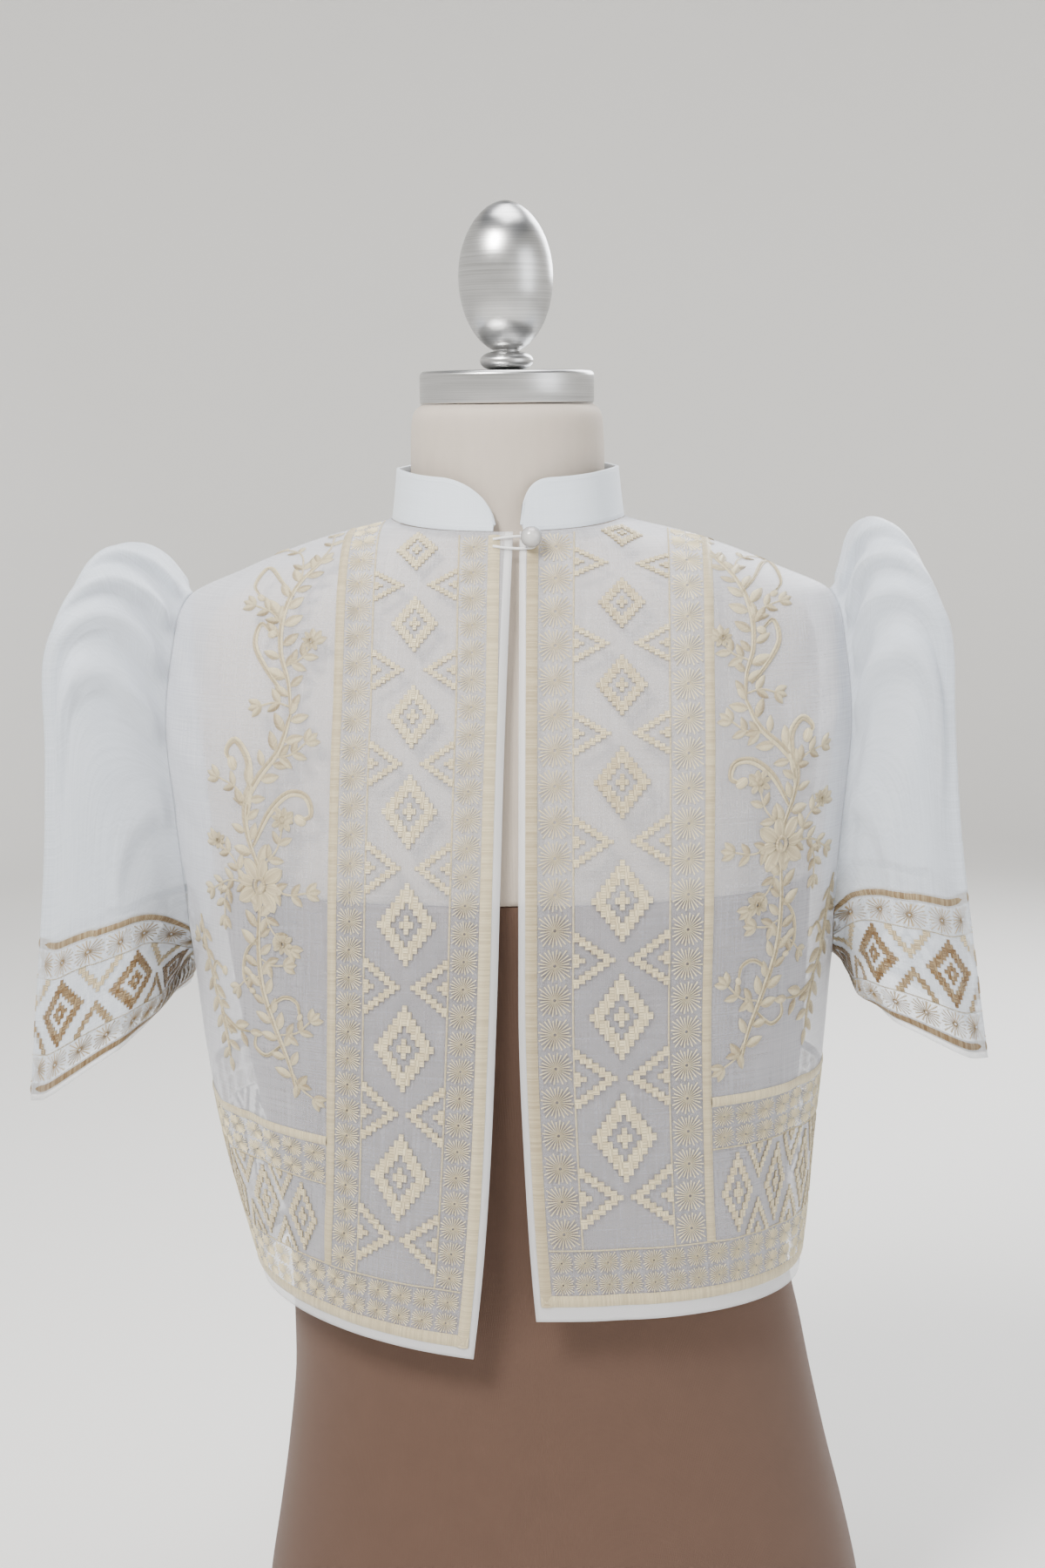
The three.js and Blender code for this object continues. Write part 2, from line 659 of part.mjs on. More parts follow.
addPiece('form_torso_lower', ringedSolid(FORM_RINGS, LOWER_HEIGHTS), '#a98672', 0.9, 0);
addPiece('form_torso_upper', ringedSolid(FORM_RINGS, UPPER_HEIGHTS), '#e4dad0', 0.9, 0);
stand('form_neck_cap', neckCapGeometry(), NECK_TOP_HEIGHT + SEAM_GAP, '#b4b7ba');
stand('form_finial', finialGeometry(), NECK_TOP_HEIGHT + NECK_CAP.height + 2 * SEAM_GAP, '#b4b7ba');

addPiece('front_left', frontPanel('left', 1), '#dfe2ea', 0.55, 0);
addPiece('front_right', frontPanel('right', -1), '#dfe2ea', 0.55, 0);
addPiece('back', backPanel(), '#dfe2ea', 0.55, 0);
addPiece('sleeve_left', sleeveShell('left', 1), '#e8ecf0', 0.5, 0);
addPiece('sleeve_right', sleeveShell('right', -1), '#e8ecf0', 0.5, 0);
addPiece('collar', collarShell(), '#e6ebf2', 0.6, 0);

const button = addPiece('button', buttonGeometry(), '#ece9e4', 0.18, 0);
const button_place = clothPlace(BUTTON.x, BUTTON.height);
button.position.copy(button_place.point).addScaledVector(button_place.normal, LAID_GAP);
button.quaternion.setFromUnitVectors(new THREE.Vector3(0, 1, 0), button_place.normal);
addPiece('button_loop', loopGeometry(), '#f0f0f0', 0.7, 0);

export default part;
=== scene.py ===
"""A sheer embroidered bolero with butterfly sleeves, on a limbless dress form.

Lengths inside the geometry functions are millimetres; meshes are written in metres. +Z is up and the
wearer faces -Y. Every cloth panel has its own flat lay-out (across, up) in millimetres, and the embroidery
is drawn flat in that lay-out and then laid on the panel.
"""
import math
import random

import bmesh
import bpy
import numpy as np
from mathutils import Matrix, Vector


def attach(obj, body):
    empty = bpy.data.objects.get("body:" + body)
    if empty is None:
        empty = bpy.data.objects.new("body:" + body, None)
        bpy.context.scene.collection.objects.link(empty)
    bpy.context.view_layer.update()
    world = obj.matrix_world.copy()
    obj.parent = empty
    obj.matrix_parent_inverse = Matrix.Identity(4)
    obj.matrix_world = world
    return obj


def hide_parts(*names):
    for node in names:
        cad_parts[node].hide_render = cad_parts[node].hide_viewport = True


bl_info = {
    "name": "Embroidered bolero on a dress form",
    "version": (1, 0, 0),
    "blender": (4, 5, 0),
    "location": "3D View > Sidebar > Bolero",
    "description": "Builds a sheer embroidered bolero, its dress form and a plain studio",
    "category": "Add Mesh",
}

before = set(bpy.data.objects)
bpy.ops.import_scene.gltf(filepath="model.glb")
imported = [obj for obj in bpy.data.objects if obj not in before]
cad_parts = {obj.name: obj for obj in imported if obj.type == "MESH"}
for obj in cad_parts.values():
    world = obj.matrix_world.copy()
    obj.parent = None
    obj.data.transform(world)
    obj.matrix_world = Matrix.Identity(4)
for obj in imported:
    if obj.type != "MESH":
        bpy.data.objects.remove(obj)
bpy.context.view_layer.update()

MM = 0.001
FULL_TURN = 2 * math.pi
HALF_TURN = math.pi
QUARTER_TURN = math.pi / 2

# ---- the cut, in millimetres

SHOULDER_TIP_HEIGHT = 652
UNDERARM_HEIGHT = 452
ARMHOLE_SCOOP = math.radians(20)
NECK_HEIGHT = {"front": 688, "side": 693, "back": 700}
COLLAR_HEIGHT = 27
COLLAR_LEAN = 3
# The collar's rounded front ends: how long each round is, how full, and how far it stands back
# from the opening.
COLLAR_ENDS = {"left": (14, 2.8, 1.5), "right": (25, 2.0, 8)}
NECK_RADIUS = 60
# The body's mean radius, which turns ring angles into lengths.
BODY_RADIUS = 150
# The hem's height at the opening and at the side seam.
HEM_HEIGHT = {"left": (275, 271), "right": (251, 270)}
BACK_HEM_CENTRE = 266
SEAM_GAP = 0.3
BUTTON_X = 15
BUTTON_HEIGHT = 682
LOOP_HALF_WIDTH = 2.9
NECK_TOP_HEIGHT = 754
NECK_CAP_HEIGHT = 17.6
COVER_JOIN_HEIGHT = 500

# How far the cuff hangs lower behind than in front.
SLEEVE_BACK_DROP = 12
# How each sleeve sits: its reach out at the head and at the cuff, its lift at the head, and how much
# shorter it is.
SLEEVE_SET = {
    "left": {"reach": -25, "cuff_reach": -13, "lift": 7, "shorten": 26},
    "right": {"reach": -9, "cuff_reach": -9, "lift": -3, "shorten": 0},
}

# Where the two opening edges hang, as x.
EDGE_COLUMNS = ("height", "left", "right")
FRONT_EDGES = [
    (240, 19, -19),
    (300, 14, -12),
    (360, 11, -7),
    (430, 9, -3),
    (500, 9.5, 0),
    (590, 9.5, 2.5),
    (700, 9, 6),
]

# Level rings round the body: half width, depth in front and behind, squareness, and sideways shift.
RING_COLUMNS = ("height", "half_width", "front", "back", "square", "shift")
CLOTH_RINGS = [
    (240, 147.5, 110, 98, 2.25, 10.5),
    (300, 159, 115, 101, 2.25, 6),
    (350, 167, 119, 104, 2.25, 2),
    (400, 173.5, 123, 107, 2.3, 0.5),
    (450, 178, 126, 110, 2.35, 0),
    (500, 184, 127, 112, 2.4, 0),
    (545, 190, 118, 114, 2.45, 0),
    (585, 193, 106, 112, 2.5, 0),
    (622, 188, 92, 105, 2.4, 0),
    (652, 176, 80, 95, 2.2, 0),
    (666, 146, 73, 88, 2.15, 0),
    (676, 122, 67.5, 82, 2.1, 0),
    (684, 98, 63, 76.5, 2.05, 0),
    (689, 78, 60, 72, 2, 0),
    (693, 64, 58.5, 67, 2, 0),
    (699, 62, 57.5, 62.5, 2, 0),
    (710, 61, 57, 61.5, 2, 0),
]
FORM_RINGS = [
    (0, 178, 112, 128, 2.2, 26),
    (40, 176, 112, 129, 2.2, 26),
    (80, 171.5, 110, 126, 2.2, 25.5),
    (120, 164, 105, 118, 2.2, 24.5),
    (160, 156, 100, 106, 2.2, 22.5),
    (205, 148.5, 95, 94, 2.2, 20),
    (238, 145, 93, 88, 2.2, 17),
    (263, 142.5, 93, 87, 2.2, 14),
    (290, 142, 96, 88, 2.2, 12),
    (340, 147, 103, 93, 2.2, 9),
    (400, 156, 112, 99, 2.25, 6),
    (450, 161, 117, 103, 2.3, 3.5),
    (500, 165, 119, 105, 2.3, 1.5),
    (545, 168, 110, 107, 2.35, 0),
    (585, 170, 98, 105, 2.4, 0),
    (620, 169, 84, 98, 2.35, 0),
    (643, 162, 74, 89, 2.2, 0),
    (657, 143, 69, 83, 2.1, 0),
    (669, 117, 63, 76, 2.05, 0),
    (678, 92, 58, 69, 2, 0),
    (684, 71, 55, 63, 2, 0),
    (690, 59, 53.5, 58.5, 2, 0),
    (702, 54, 52.6, 54, 2, 0),
    (735, 52.6, 52, 52, 2, 0),
    (747, 51.8, 51.4, 51.4, 2, 0),
    (752, 49.6, 49.4, 49.4, 2, 0),
    (754, 46.5, 46.3, 46.3, 2, 0),
]
# Loops round a sleeve, from its armhole out to its cuff.
LOOP_COLUMNS = ("along", "outer_x", "outer_z", "inner_x", "inner_z", "front", "back", "square")
SLEEVE_LOOPS = [
    (0, 176, 652, 173, 452, 56, 60, 2.1),
    (0.1, 200, 676, 181, 447, 63, 67, 2.3),
    (0.22, 226, 682, 186, 442, 70, 76, 2.9),
    (0.36, 245, 655, 189, 438, 76, 84, 3.8),
    (0.52, 251, 595, 190, 434, 80, 90, 4.4),
    (0.7, 255, 520, 192, 430, 84, 95, 4.4),
    (0.85, 262, 446, 194, 427, 87, 99, 4),
    (1, 268, 380, 197, 424, 89, 102, 3.8),
]

# Folds pressed into a sleeve's head, from the armhole seam out to its outer crease: the loop angle in
# degrees at the seam, how far along and at what angle the fold ends, its width and its height in
# millimetres. Angles above 180 are behind.
SLEEVE_FOLDS = [
    (15, 0.34, 27, 10, 5.6),
    (37, 0.44, 42, 9, 8.4),
    (57, 0.58, 49, 9, 7.6),
    (78, 0.68, 62, 8, 6.8),
    (101, 0.56, 92, 10, 3.2),
    (-19, 0.34, -30, 10, 5.8),
    (-42, 0.46, -44, 9, 8.0),
    (-64, 0.54, -57, 10, 6.8),
    (-89, 0.62, -83, 10, 4.2),
]
# Pressed creases at the front and back of a sleeve's outer face: side, and height in millimetres.
SLEEVE_CORNERS = ((1, 5.5), (-1, 4.5))
# The sleeve's mean radius, which turns loop angles into lengths.
SLEEVE_RADIUS = 110.0
# Slow swells of the stiff cloth: (angle in degrees, along) of the middle, their two widths and height.
SLEEVE_SWELLS = [
    ((70, 0.72), (20, 0.20), -2.4),
    ((110, 0.80), (16, 0.26), 2.0),
    ((14, 0.66), (16, 0.30), -2.6),
    ((-14, 0.74), (14, 0.30), -2.2),
    ((-75, 0.70), (22, 0.22), -2.4),
    ((-112, 0.78), (16, 0.22), 2.0),
    ((150, 0.60), (18, 0.24), 1.6),
]

# Soft creases in the hanging cloth: where each starts and ends (ring angle in degrees, height), its
# width and its depth. A negative depth is a ridge. Angles grow towards the wearer's left.
CREASES = [
    ((64, 632), (40, 588), 9, 1.3),
    ((69, 600), (44, 566), 11, -1.4),
    ((70, 560), (47, 545), 8, 1.2),
    ((74, 505), (56, 452), 12, 1.5),
    ((66, 420), (58, 300), 13, 1.8),
    ((48, 372), (40, 285), 12, -1.3),
    ((20, 330), (17, 262), 14, 1.0),
    ((-66, 628), (-46, 596), 9, 1.2),
    ((-71, 585), (-49, 560), 10, -1.5),
    ((-72, 548), (-52, 520), 9, 1.4),
    ((-75, 510), (-60, 436), 12, 1.7),
    ((-68, 430), (-62, 310), 13, -1.6),
    ((-54, 400), (-50, 296), 11, 1.9),
    ((-36, 340), (-33, 262), 12, -1.1),
    ((-14, 320), (-12, 254), 13, 1.0),
    ((112, 610), (140, 560), 12, 1.3),
    ((116, 560), (150, 520), 13, -1.4),
    ((128, 470), (133, 330), 14, 1.6),
    ((150, 420), (153, 290), 15, -1.3),
    ((-110, 604), (-142, 566), 12, 1.4),
    ((-118, 540), (-146, 500), 12, -1.2),
    ((-126, 480), (-136, 320), 14, 1.5),
    ((-158, 430), (-160, 284), 15, -1.4),
    ((178, 380), (176, 280), 14, 1.1),
]
CREASE_STEEPNESS = 1.7
CREASE_HALF_RUN = 0.42


# ---- tables read as smooth curves


def read_table(table, columns, at):
    """Reads every column of a table at an array of places, on a smooth curve through its rows."""
    rows = np.array(table, float)
    keys = rows[:, 0]
    at = np.asarray(at, float)
    low = np.clip(np.searchsorted(keys, at, side="left") - 1, 0, len(keys) - 2)
    before = np.maximum(low - 1, 0)
    after = np.minimum(low + 2, len(keys) - 1)
    span = keys[low + 1] - keys[low]
    share = np.clip((at - keys[low]) / span, 0, 1)
    square, cube = share**2, share**3
    result = {columns[0]: at}
    for index, name in enumerate(columns[1:], start=1):
        column = rows[:, index]
        slope_low = (column[low + 1] - column[before]) / (keys[low + 1] - keys[before]) * span
        slope_high = (column[after] - column[low]) / (keys[after] - keys[low]) * span
        result[name] = (
            (2 * cube - 3 * square + 1) * column[low]
            + (cube - 2 * square + share) * slope_low
            + (3 * square - 2 * cube) * column[low + 1]
            + (cube - square) * slope_high
        )
    return result


def signed_power(value, power):
    return np.sign(value) * np.abs(value) ** power


def smooth_step(value, low, high):
    share = np.clip((np.asarray(value, float) - low) / (high - low), 0, 1)
    return share * share * (3 - 2 * share)


def unit(vectors):
    return vectors / np.maximum(np.linalg.norm(vectors, axis=-1, keepdims=True), 1e-9)


def walked(places):
    """The distance walked along a row of places, up to each of them."""
    return np.concatenate([[0], np.cumsum(np.linalg.norm(np.diff(places, axis=0), axis=1))])


def ring_point(rings, angle, height):
    """Points on a ringed body. Angle 0 is the centre front, a quarter turn is the wearer's left side."""
    angle, height = np.broadcast_arrays(np.asarray(angle, float), np.asarray(height, float))
    ring = read_table(rings, RING_COLUMNS, height)
    power = 2 / ring["square"]
    depth = np.where(np.cos(angle) > 0, ring["front"], ring["back"])
    x = ring["shift"] + ring["half_width"] * signed_power(np.sin(angle), power)
    y = -depth * signed_power(np.cos(angle), power)
    return np.stack([x, y, height], axis=-1)


def body_ring(height):
    """The bolero's body ring at a level."""
    return read_table(CLOTH_RINGS, RING_COLUMNS, height)


def body_point(angle, height):
    """Points on the bolero's body before its creases."""
    return ring_point(CLOTH_RINGS, angle, height)


def body_normal(angle, height):
    """The way straight out of the bolero's body."""
    step, rise = 0.02, 1.5
    around = body_point(angle + step, height) - body_point(angle - step, height)
    upward = body_point(angle, height + rise) - body_point(angle, height - rise)
    return unit(np.cross(around, upward))


def angle_at_x(x, height):
    """The ring angle at which the cloth lies a given distance from the middle plane, in front."""
    ring = body_ring(height)
    return np.arcsin(signed_power((x - ring["shift"]) / ring["half_width"], ring["square"] / 2))


def neck_height(angle):
    middle = np.where(np.cos(angle) > 0, NECK_HEIGHT["front"], NECK_HEIGHT["back"])
    return middle + (NECK_HEIGHT["side"] - middle) * np.sin(angle) ** 2


def crease_place(angle, height):
    return np.array([math.radians(angle) * BODY_RADIUS, height])


def crease_depth(angle, height):
    """How far the soft creases push the body cloth in at a place."""
    depth = np.zeros(np.broadcast(angle, height).shape)
    for start, end, width, push in CREASES:
        first = crease_place(*start)
        run = crease_place(*end) - first
        offset_round = angle * BODY_RADIUS - first[0]
        offset_up = height - first[1]
        share = (offset_round * run[0] + offset_up * run[1]) / (run @ run)
        across = np.abs(offset_round * run[1] - offset_up * run[0]) / np.linalg.norm(run)
        profile = np.exp(-((across / width) ** 2) * CREASE_STEEPNESS)
        fade = np.exp(-(((share - 0.5) / CREASE_HALF_RUN) ** 4))
        depth = depth + push * profile * fade
    return depth


def cloth_point(angle, height, lift=0.0):
    """Points on the bolero's body, creased, and raised along its normal by lift."""
    lift = np.asarray(lift, float) - crease_depth(angle, height)
    point = body_point(angle, height)
    return point + body_normal(angle, height) * lift[..., None]


# ---- body panels


def hem_height(name, angle):
    """The height of the body's lower edge at a ring angle."""
    if name == "back":
        side = np.where(np.sin(angle) > 0, HEM_HEIGHT["left"][1], HEM_HEIGHT["right"][1])
        return BACK_HEM_CENTRE + (side - BACK_HEM_CENTRE) * np.sin(angle) ** 2
    centre, side = HEM_HEIGHT["left" if name == "front_left" else "right"]
    return centre + (side - centre) * np.abs(np.sin(angle)) ** 1.3


def armhole_height(angle):
    middle = (SHOULDER_TIP_HEIGHT + UNDERARM_HEIGHT) / 2
    return middle + (SHOULDER_TIP_HEIGHT - middle) * np.cos(angle)


def armhole_scoop(angle):
    return ARMHOLE_SCOOP * np.maximum(np.sin(angle), 0) ** 0.8


def armhole_point(angle):
    """Points on the wearer's left armhole. Angle 0 is the shoulder tip, and a half turn the underarm."""
    in_front = angle <= HALF_TURN
    folded = np.where(in_front, angle, FULL_TURN - angle)
    scoop = armhole_scoop(folded)
    ring_angle = np.where(in_front, QUARTER_TURN - scoop, QUARTER_TURN + scoop)
    return body_point(ring_angle, armhole_height(folded))


def front_edge_angle(name, height):
    """The ring angle of a front panel's opening edge."""
    side = "left" if name == "front_left" else "right"
    return angle_at_x(read_table(FRONT_EDGES, EDGE_COLUMNS, height)[side], height)


def panel_place(name, across, rise):
    """The ring angle and height of a place on a body panel.

    across runs 0 to 1 from the opening edge to the side seam (on the back, from one side seam to the
    other) and rise 0 to 1 from the hem to the neck.
    """
    below, armhole = 0.5, 0.9
    in_armhole = (rise > below) & (rise <= armhole)
    arm_angle = HALF_TURN * (1 - np.clip((rise - below) / (armhole - below), 0, 1))
    scoop = np.where(in_armhole, armhole_scoop(arm_angle), 0)
    low = np.clip(1 - rise / below, 0, 1)
    high = np.clip((rise - armhole) / (1 - armhole), 0, 1)

    def height_at(angle):
        level = armhole_height(arm_angle)
        hanging = UNDERARM_HEIGHT + (hem_height(name, angle) - UNDERARM_HEIGHT) * low
        shoulder = SHOULDER_TIP_HEIGHT + (neck_height(angle) - SHOULDER_TIP_HEIGHT) * high
        return np.where(rise < below, hanging, np.where(rise > armhole, shoulder, level))

    if name == "back":
        start = QUARTER_TURN + scoop
        angle = start + (FULL_TURN - 2 * start) * across
    else:
        side = 1 if name == "front_left" else -1
        edge = front_edge_angle(name, height_at(np.zeros_like(across)))
        angle = edge + (side * (QUARTER_TURN - scoop) - edge) * across
    return angle, height_at(angle)


# The meridian that each panel's heights are measured along, away from its edges.
PANEL_MERIDIAN = {
    "front_left": math.radians(15),
    "front_right": math.radians(-15),
    "back": math.radians(165),
}
# The levels that the body is measured at, and where its upright threads leave it for the shoulder.
LOWEST_LEVEL, HIGHEST_LEVEL, LEVEL_STEP = 236, 702, 2.0
SHOULDER_START = 600.0
# The upright threads that are followed: their spacing, and how far across they are taken.
THREAD_PITCH = 2.5
PANEL_REACH = 232.0
# How much lower than the top level a panel's flat length ends, at the neckline.
NECK_ALLOWANCE = 6
# Over this stretch of flat height the hem's own slope fades into level rows.
HEM_BEND = (40, 230)


class PanelLayout:
    """A body panel laid flat: across from its opening edge (or centre back), up from its hem."""

    def __init__(self, name):
        self.name = name
        side = -1 if name == "front_right" else 1
        self.levels = np.arange(LOWEST_LEVEL, HIGHEST_LEVEL, LEVEL_STEP)
        self.angles = []
        self.lengths = []
        shares = np.linspace(0, 1, 260)
        for level in self.levels:
            if name == "back":
                angles = HALF_TURN + (shares - 0.5) * 1.36 * HALF_TURN
            else:
                edge = float(front_edge_angle(name, np.array([level]))[0])
                angles = edge + (side * QUARTER_TURN * 1.2 - edge) * shares
            lengths = walked(body_point(angles, level))
            if name == "back":
                lengths = lengths - np.interp(HALF_TURN, angles, lengths)
            self.angles.append(angles)
            self.lengths.append(lengths)
        meridian = PANEL_MERIDIAN[name]
        rises = walked(body_point(meridian, self.levels))
        self.hem_level = float(hem_height(name, np.array([meridian]))[0])
        self.rises = rises - np.interp(self.hem_level, self.levels, rises)
        self.trace_grain()

    def trace_grain(self):
        """Follows the cloth's upright threads: level by level on the body, then straight up and over
        the shoulder, where their own length is the flat height."""
        self.first = -230.0 if self.name == "back" else 0.0
        self.grain = []
        low = np.arange(LOWEST_LEVEL, SHOULDER_START, 4.0)
        for across in np.arange(self.first, PANEL_REACH, THREAD_PITCH):
            low_angle = self.angle_at(np.full_like(low, across), low)
            foot_angle = self.angle_at(np.array([across]), np.array([SHOULDER_START]))
            x = float(body_point(foot_angle, np.array([SHOULDER_START]))[0, 0])
            high_angle, high = self.over_shoulder(x)
            climbed = walked(body_point(high_angle, high))
            flat = np.concatenate([self.rise_of(low), self.rise_of(SHOULDER_START) + climbed])
            self.grain.append((flat, np.concatenate([low_angle, high_angle]), np.concatenate([low, high])))

    def over_shoulder(self, x):
        """The ring angles and levels of a thread that climbs at one distance from the middle plane."""
        trial = np.linspace(SHOULDER_START, 699, 500)
        ring = body_ring(trial)
        reached = trial[np.abs(x) < ring["half_width"] * 0.9995]
        top = reached[-1] if len(reached) else SHOULDER_START + 1
        share = np.linspace(0, 1, 70)
        high = SHOULDER_START + (top - SHOULDER_START) * (1 - (1 - share) ** 2)
        ring = body_ring(high)
        sine = np.clip(np.abs(x) / ring["half_width"], 0, 1) ** (ring["square"] / 2)
        turn = np.arcsin(sine) * np.sign(x)
        return HALF_TURN - turn if self.name == "back" else turn, high

    def rise_of(self, height):
        """The flat height above the hem of a level on the body."""
        return np.interp(height, self.levels, self.rises)

    def column_of(self, across):
        return int(max(0, min(len(self.grain) - 1, round((across - self.first) / THREAD_PITCH))))

    def up_at(self, across, height):
        """The flat height of a level, on the upright thread that starts at a distance across."""
        flat, _, level = self.grain[self.column_of(across)]
        return float(np.interp(height, level, flat))

    def top_at(self, across, margin=1.5):
        """The flat height where an upright thread ends, at the neck or at the shoulder."""
        flat, angle, level = self.grain[self.column_of(across)]
        points = body_point(angle, level)
        free = (level < neck_height(angle) - 0.4) & (np.abs(points[:, 1]) > margin)
        return float(flat[free][-1]) - margin * 0.7

    def seam_reaches(self):
        """The distance from the opening edge, or from the centre back, to the side seam at each level."""
        seam = HALF_TURN * 1.5 if self.name == "back" else QUARTER_TURN
        return [float(np.interp(seam, np.abs(angles), lengths))
                for angles, lengths in zip(self.angles, self.lengths)]

    def width(self):
        """The widest level of the flat panel."""
        return max(self.seam_reaches()) * (2 if self.name == "back" else 1)

    def row_under(self, level):
        """The measured row under a level, and how far above it the level is, as a share of a row."""
        position = np.clip((level - self.levels[0]) / LEVEL_STEP, 0, len(self.levels) - 1.001)
        row = position.astype(int)
        return row, position - row

    def angle_at(self, across, level):
        row, share = self.row_under(level)
        low = np.zeros_like(across)
        high = np.zeros_like(across)
        for index in np.unique(row):
            here = row == index
            low[here] = np.interp(across[here], self.lengths[index], self.angles[index])
            high[here] = np.interp(across[here], self.lengths[index + 1], self.angles[index + 1])
        return low + (high - low) * share

    def flat_of(self, angle, level):
        """The flat place of a ring angle and level: across, and up from the hem under it."""
        row, _ = self.row_under(level)
        across = np.zeros_like(level)
        for index in np.unique(row):
            here = row == index
            order = np.argsort(self.angles[index])
            across[here] = np.interp(angle[here], self.angles[index][order], self.lengths[index][order])
        rise = self.rise_of(level)
        hem = self.rise_of(hem_height(self.name, angle))
        return np.stack([across, rise - hem * (1 - smooth_step(rise, *HEM_BEND))], axis=-1)

    def place(self, across, up):
        """The ring angle and level of a flat place."""
        position = np.clip((across - self.first) / THREAD_PITCH, 0, len(self.grain) - 1.001)
        column = position.astype(int)
        share = position - column
        angle = np.zeros_like(across)
        level = np.zeros_like(across)
        for index in np.unique(column):
            here = column == index
            weights = (1 - share[here], share[here])
            for weight, (flat, angles, levels) in zip(weights, self.grain[index:index + 2]):
                angle[here] += weight * np.interp(up[here], flat, angles)
                level[here] += weight * np.interp(up[here], flat, levels)
        bend = 1 - smooth_step(up, *HEM_BEND)
        bent = level + (hem_height(self.name, angle) - self.hem_level) * bend
        angle = np.where(bend > 0, self.angle_at(across, bent), angle)
        return angle, bent

    def lay(self, flat):
        """Turns rows of (across, up, raised) into points on the cloth."""
        angle, level = self.place(flat[:, 0], flat[:, 1])
        return cloth_point(angle, level, flat[:, 2])


# ---- sleeves


def sleeve_loop_point(along, angle, fit):
    loop = read_table(SLEEVE_LOOPS, LOOP_COLUMNS, along)
    settled = smooth_step(along, 0, 0.2)
    lifted = settled * (1 - smooth_step(along, 0.2, 0.75))
    reach = (fit["reach"] + (fit["cuff_reach"] - fit["reach"]) * along) * settled
    outer_x = loop["outer_x"] + reach
    outer_z = loop["outer_z"] + fit["lift"] * lifted + fit["shorten"] * along**2
    inner_x = loop["inner_x"] + reach * 0.1
    inner_z = loop["inner_z"] + fit["shorten"] * along**2 * 0.5
    power = 2 / loop["square"]
    swing = signed_power(np.cos(angle), power)
    depth = np.where(np.sin(angle) > 0, loop["front"], loop["back"])
    x = (outer_x + inner_x) / 2 + (outer_x - inner_x) / 2 * swing
    z = (outer_z + inner_z) / 2 + (outer_z - inner_z) / 2 * swing
    y = -depth * signed_power(np.sin(angle), power)
    z = z - SLEEVE_BACK_DROP * along**2 * np.maximum(0, y / loop["back"])
    return np.stack([x, y, z], axis=-1)


def sleeve_surface(along, angle, fit):
    """Points on the smooth left sleeve, from the armhole's edge out to its cuff."""
    angle = np.mod(angle, FULL_TURN)
    point = sleeve_loop_point(along, angle, fit)
    start = armhole_point(angle) - sleeve_loop_point(np.zeros_like(along), angle, fit)
    start[..., 0] += SEAM_GAP
    return point + start * ((1 - along) ** 3)[..., None]


def sleeve_relief(along, angle):
    """The pressed pleats, fold lines and soft swells of a sleeve, as a height over its smooth surface."""
    turn = np.mod(angle + HALF_TURN, FULL_TURN) - HALF_TURN
    relief = np.zeros(np.broadcast(along, turn).shape)
    for start, end_along, end, width, height in SLEEVE_FOLDS:
        start, end = math.radians(start), math.radians(end)
        share = along / end_along
        offset = (turn - (start + (end - start) * share)) * SLEEVE_RADIUS * np.sign(start)
        spread = np.where(offset > 0, 0.42 * width, 1.5 * width) * (1 + 0.5 * np.clip(share, 0, 1))
        fade = smooth_step(share, 0, 0.12) * (1 - smooth_step(share, 0.55, 1.0))
        relief = relief + height * np.exp(-((offset / spread) ** 2)) * fade
    for side, height in SLEEVE_CORNERS:
        offset = (turn - side * math.radians(45)) * SLEEVE_RADIUS
        ridge = np.exp((2 - np.sqrt(offset**2 + 4)) / 6)
        relief = relief + height * ridge * smooth_step(along, 0.2, 0.45)
    for (middle, run), (wide, long), height in SLEEVE_SWELLS:
        across = (turn - math.radians(middle)) / math.radians(wide)
        relief = relief + height * np.exp(-(across**2)) * np.exp(-(((along - run) / long) ** 2))
    return relief


def sleeve_point(name, along, angle, lift=0.0):
    """Points on one sleeve with its pleats, raised along its normal by lift."""
    side = 1 if name == "sleeve_left" else -1
    fit = SLEEVE_SET["left" if side > 0 else "right"]
    along, angle = np.broadcast_arrays(np.asarray(along, float), np.asarray(angle, float))
    point = sleeve_surface(along, angle, fit)
    turn, run = 0.03, 0.02
    low = np.maximum(along - run, 0)
    high = np.minimum(along + run, 1)
    around = sleeve_surface(along, angle + turn, fit) - sleeve_surface(along, angle - turn, fit)
    onward = sleeve_surface(high, angle, fit) - sleeve_surface(low, angle, fit)
    raised = sleeve_relief(along, angle) + lift
    point = point + unit(np.cross(around, onward)) * raised[..., None]
    point[..., 0] *= side
    return point


# The columns that a sleeve is measured in, evenly spaced round its cuff.
CUFF_COLUMNS = 480
# The embroidered band's height at the front fold, the two inner corners and the back fold.
BAND_HEIGHTS = (91, 70, 68, 84)


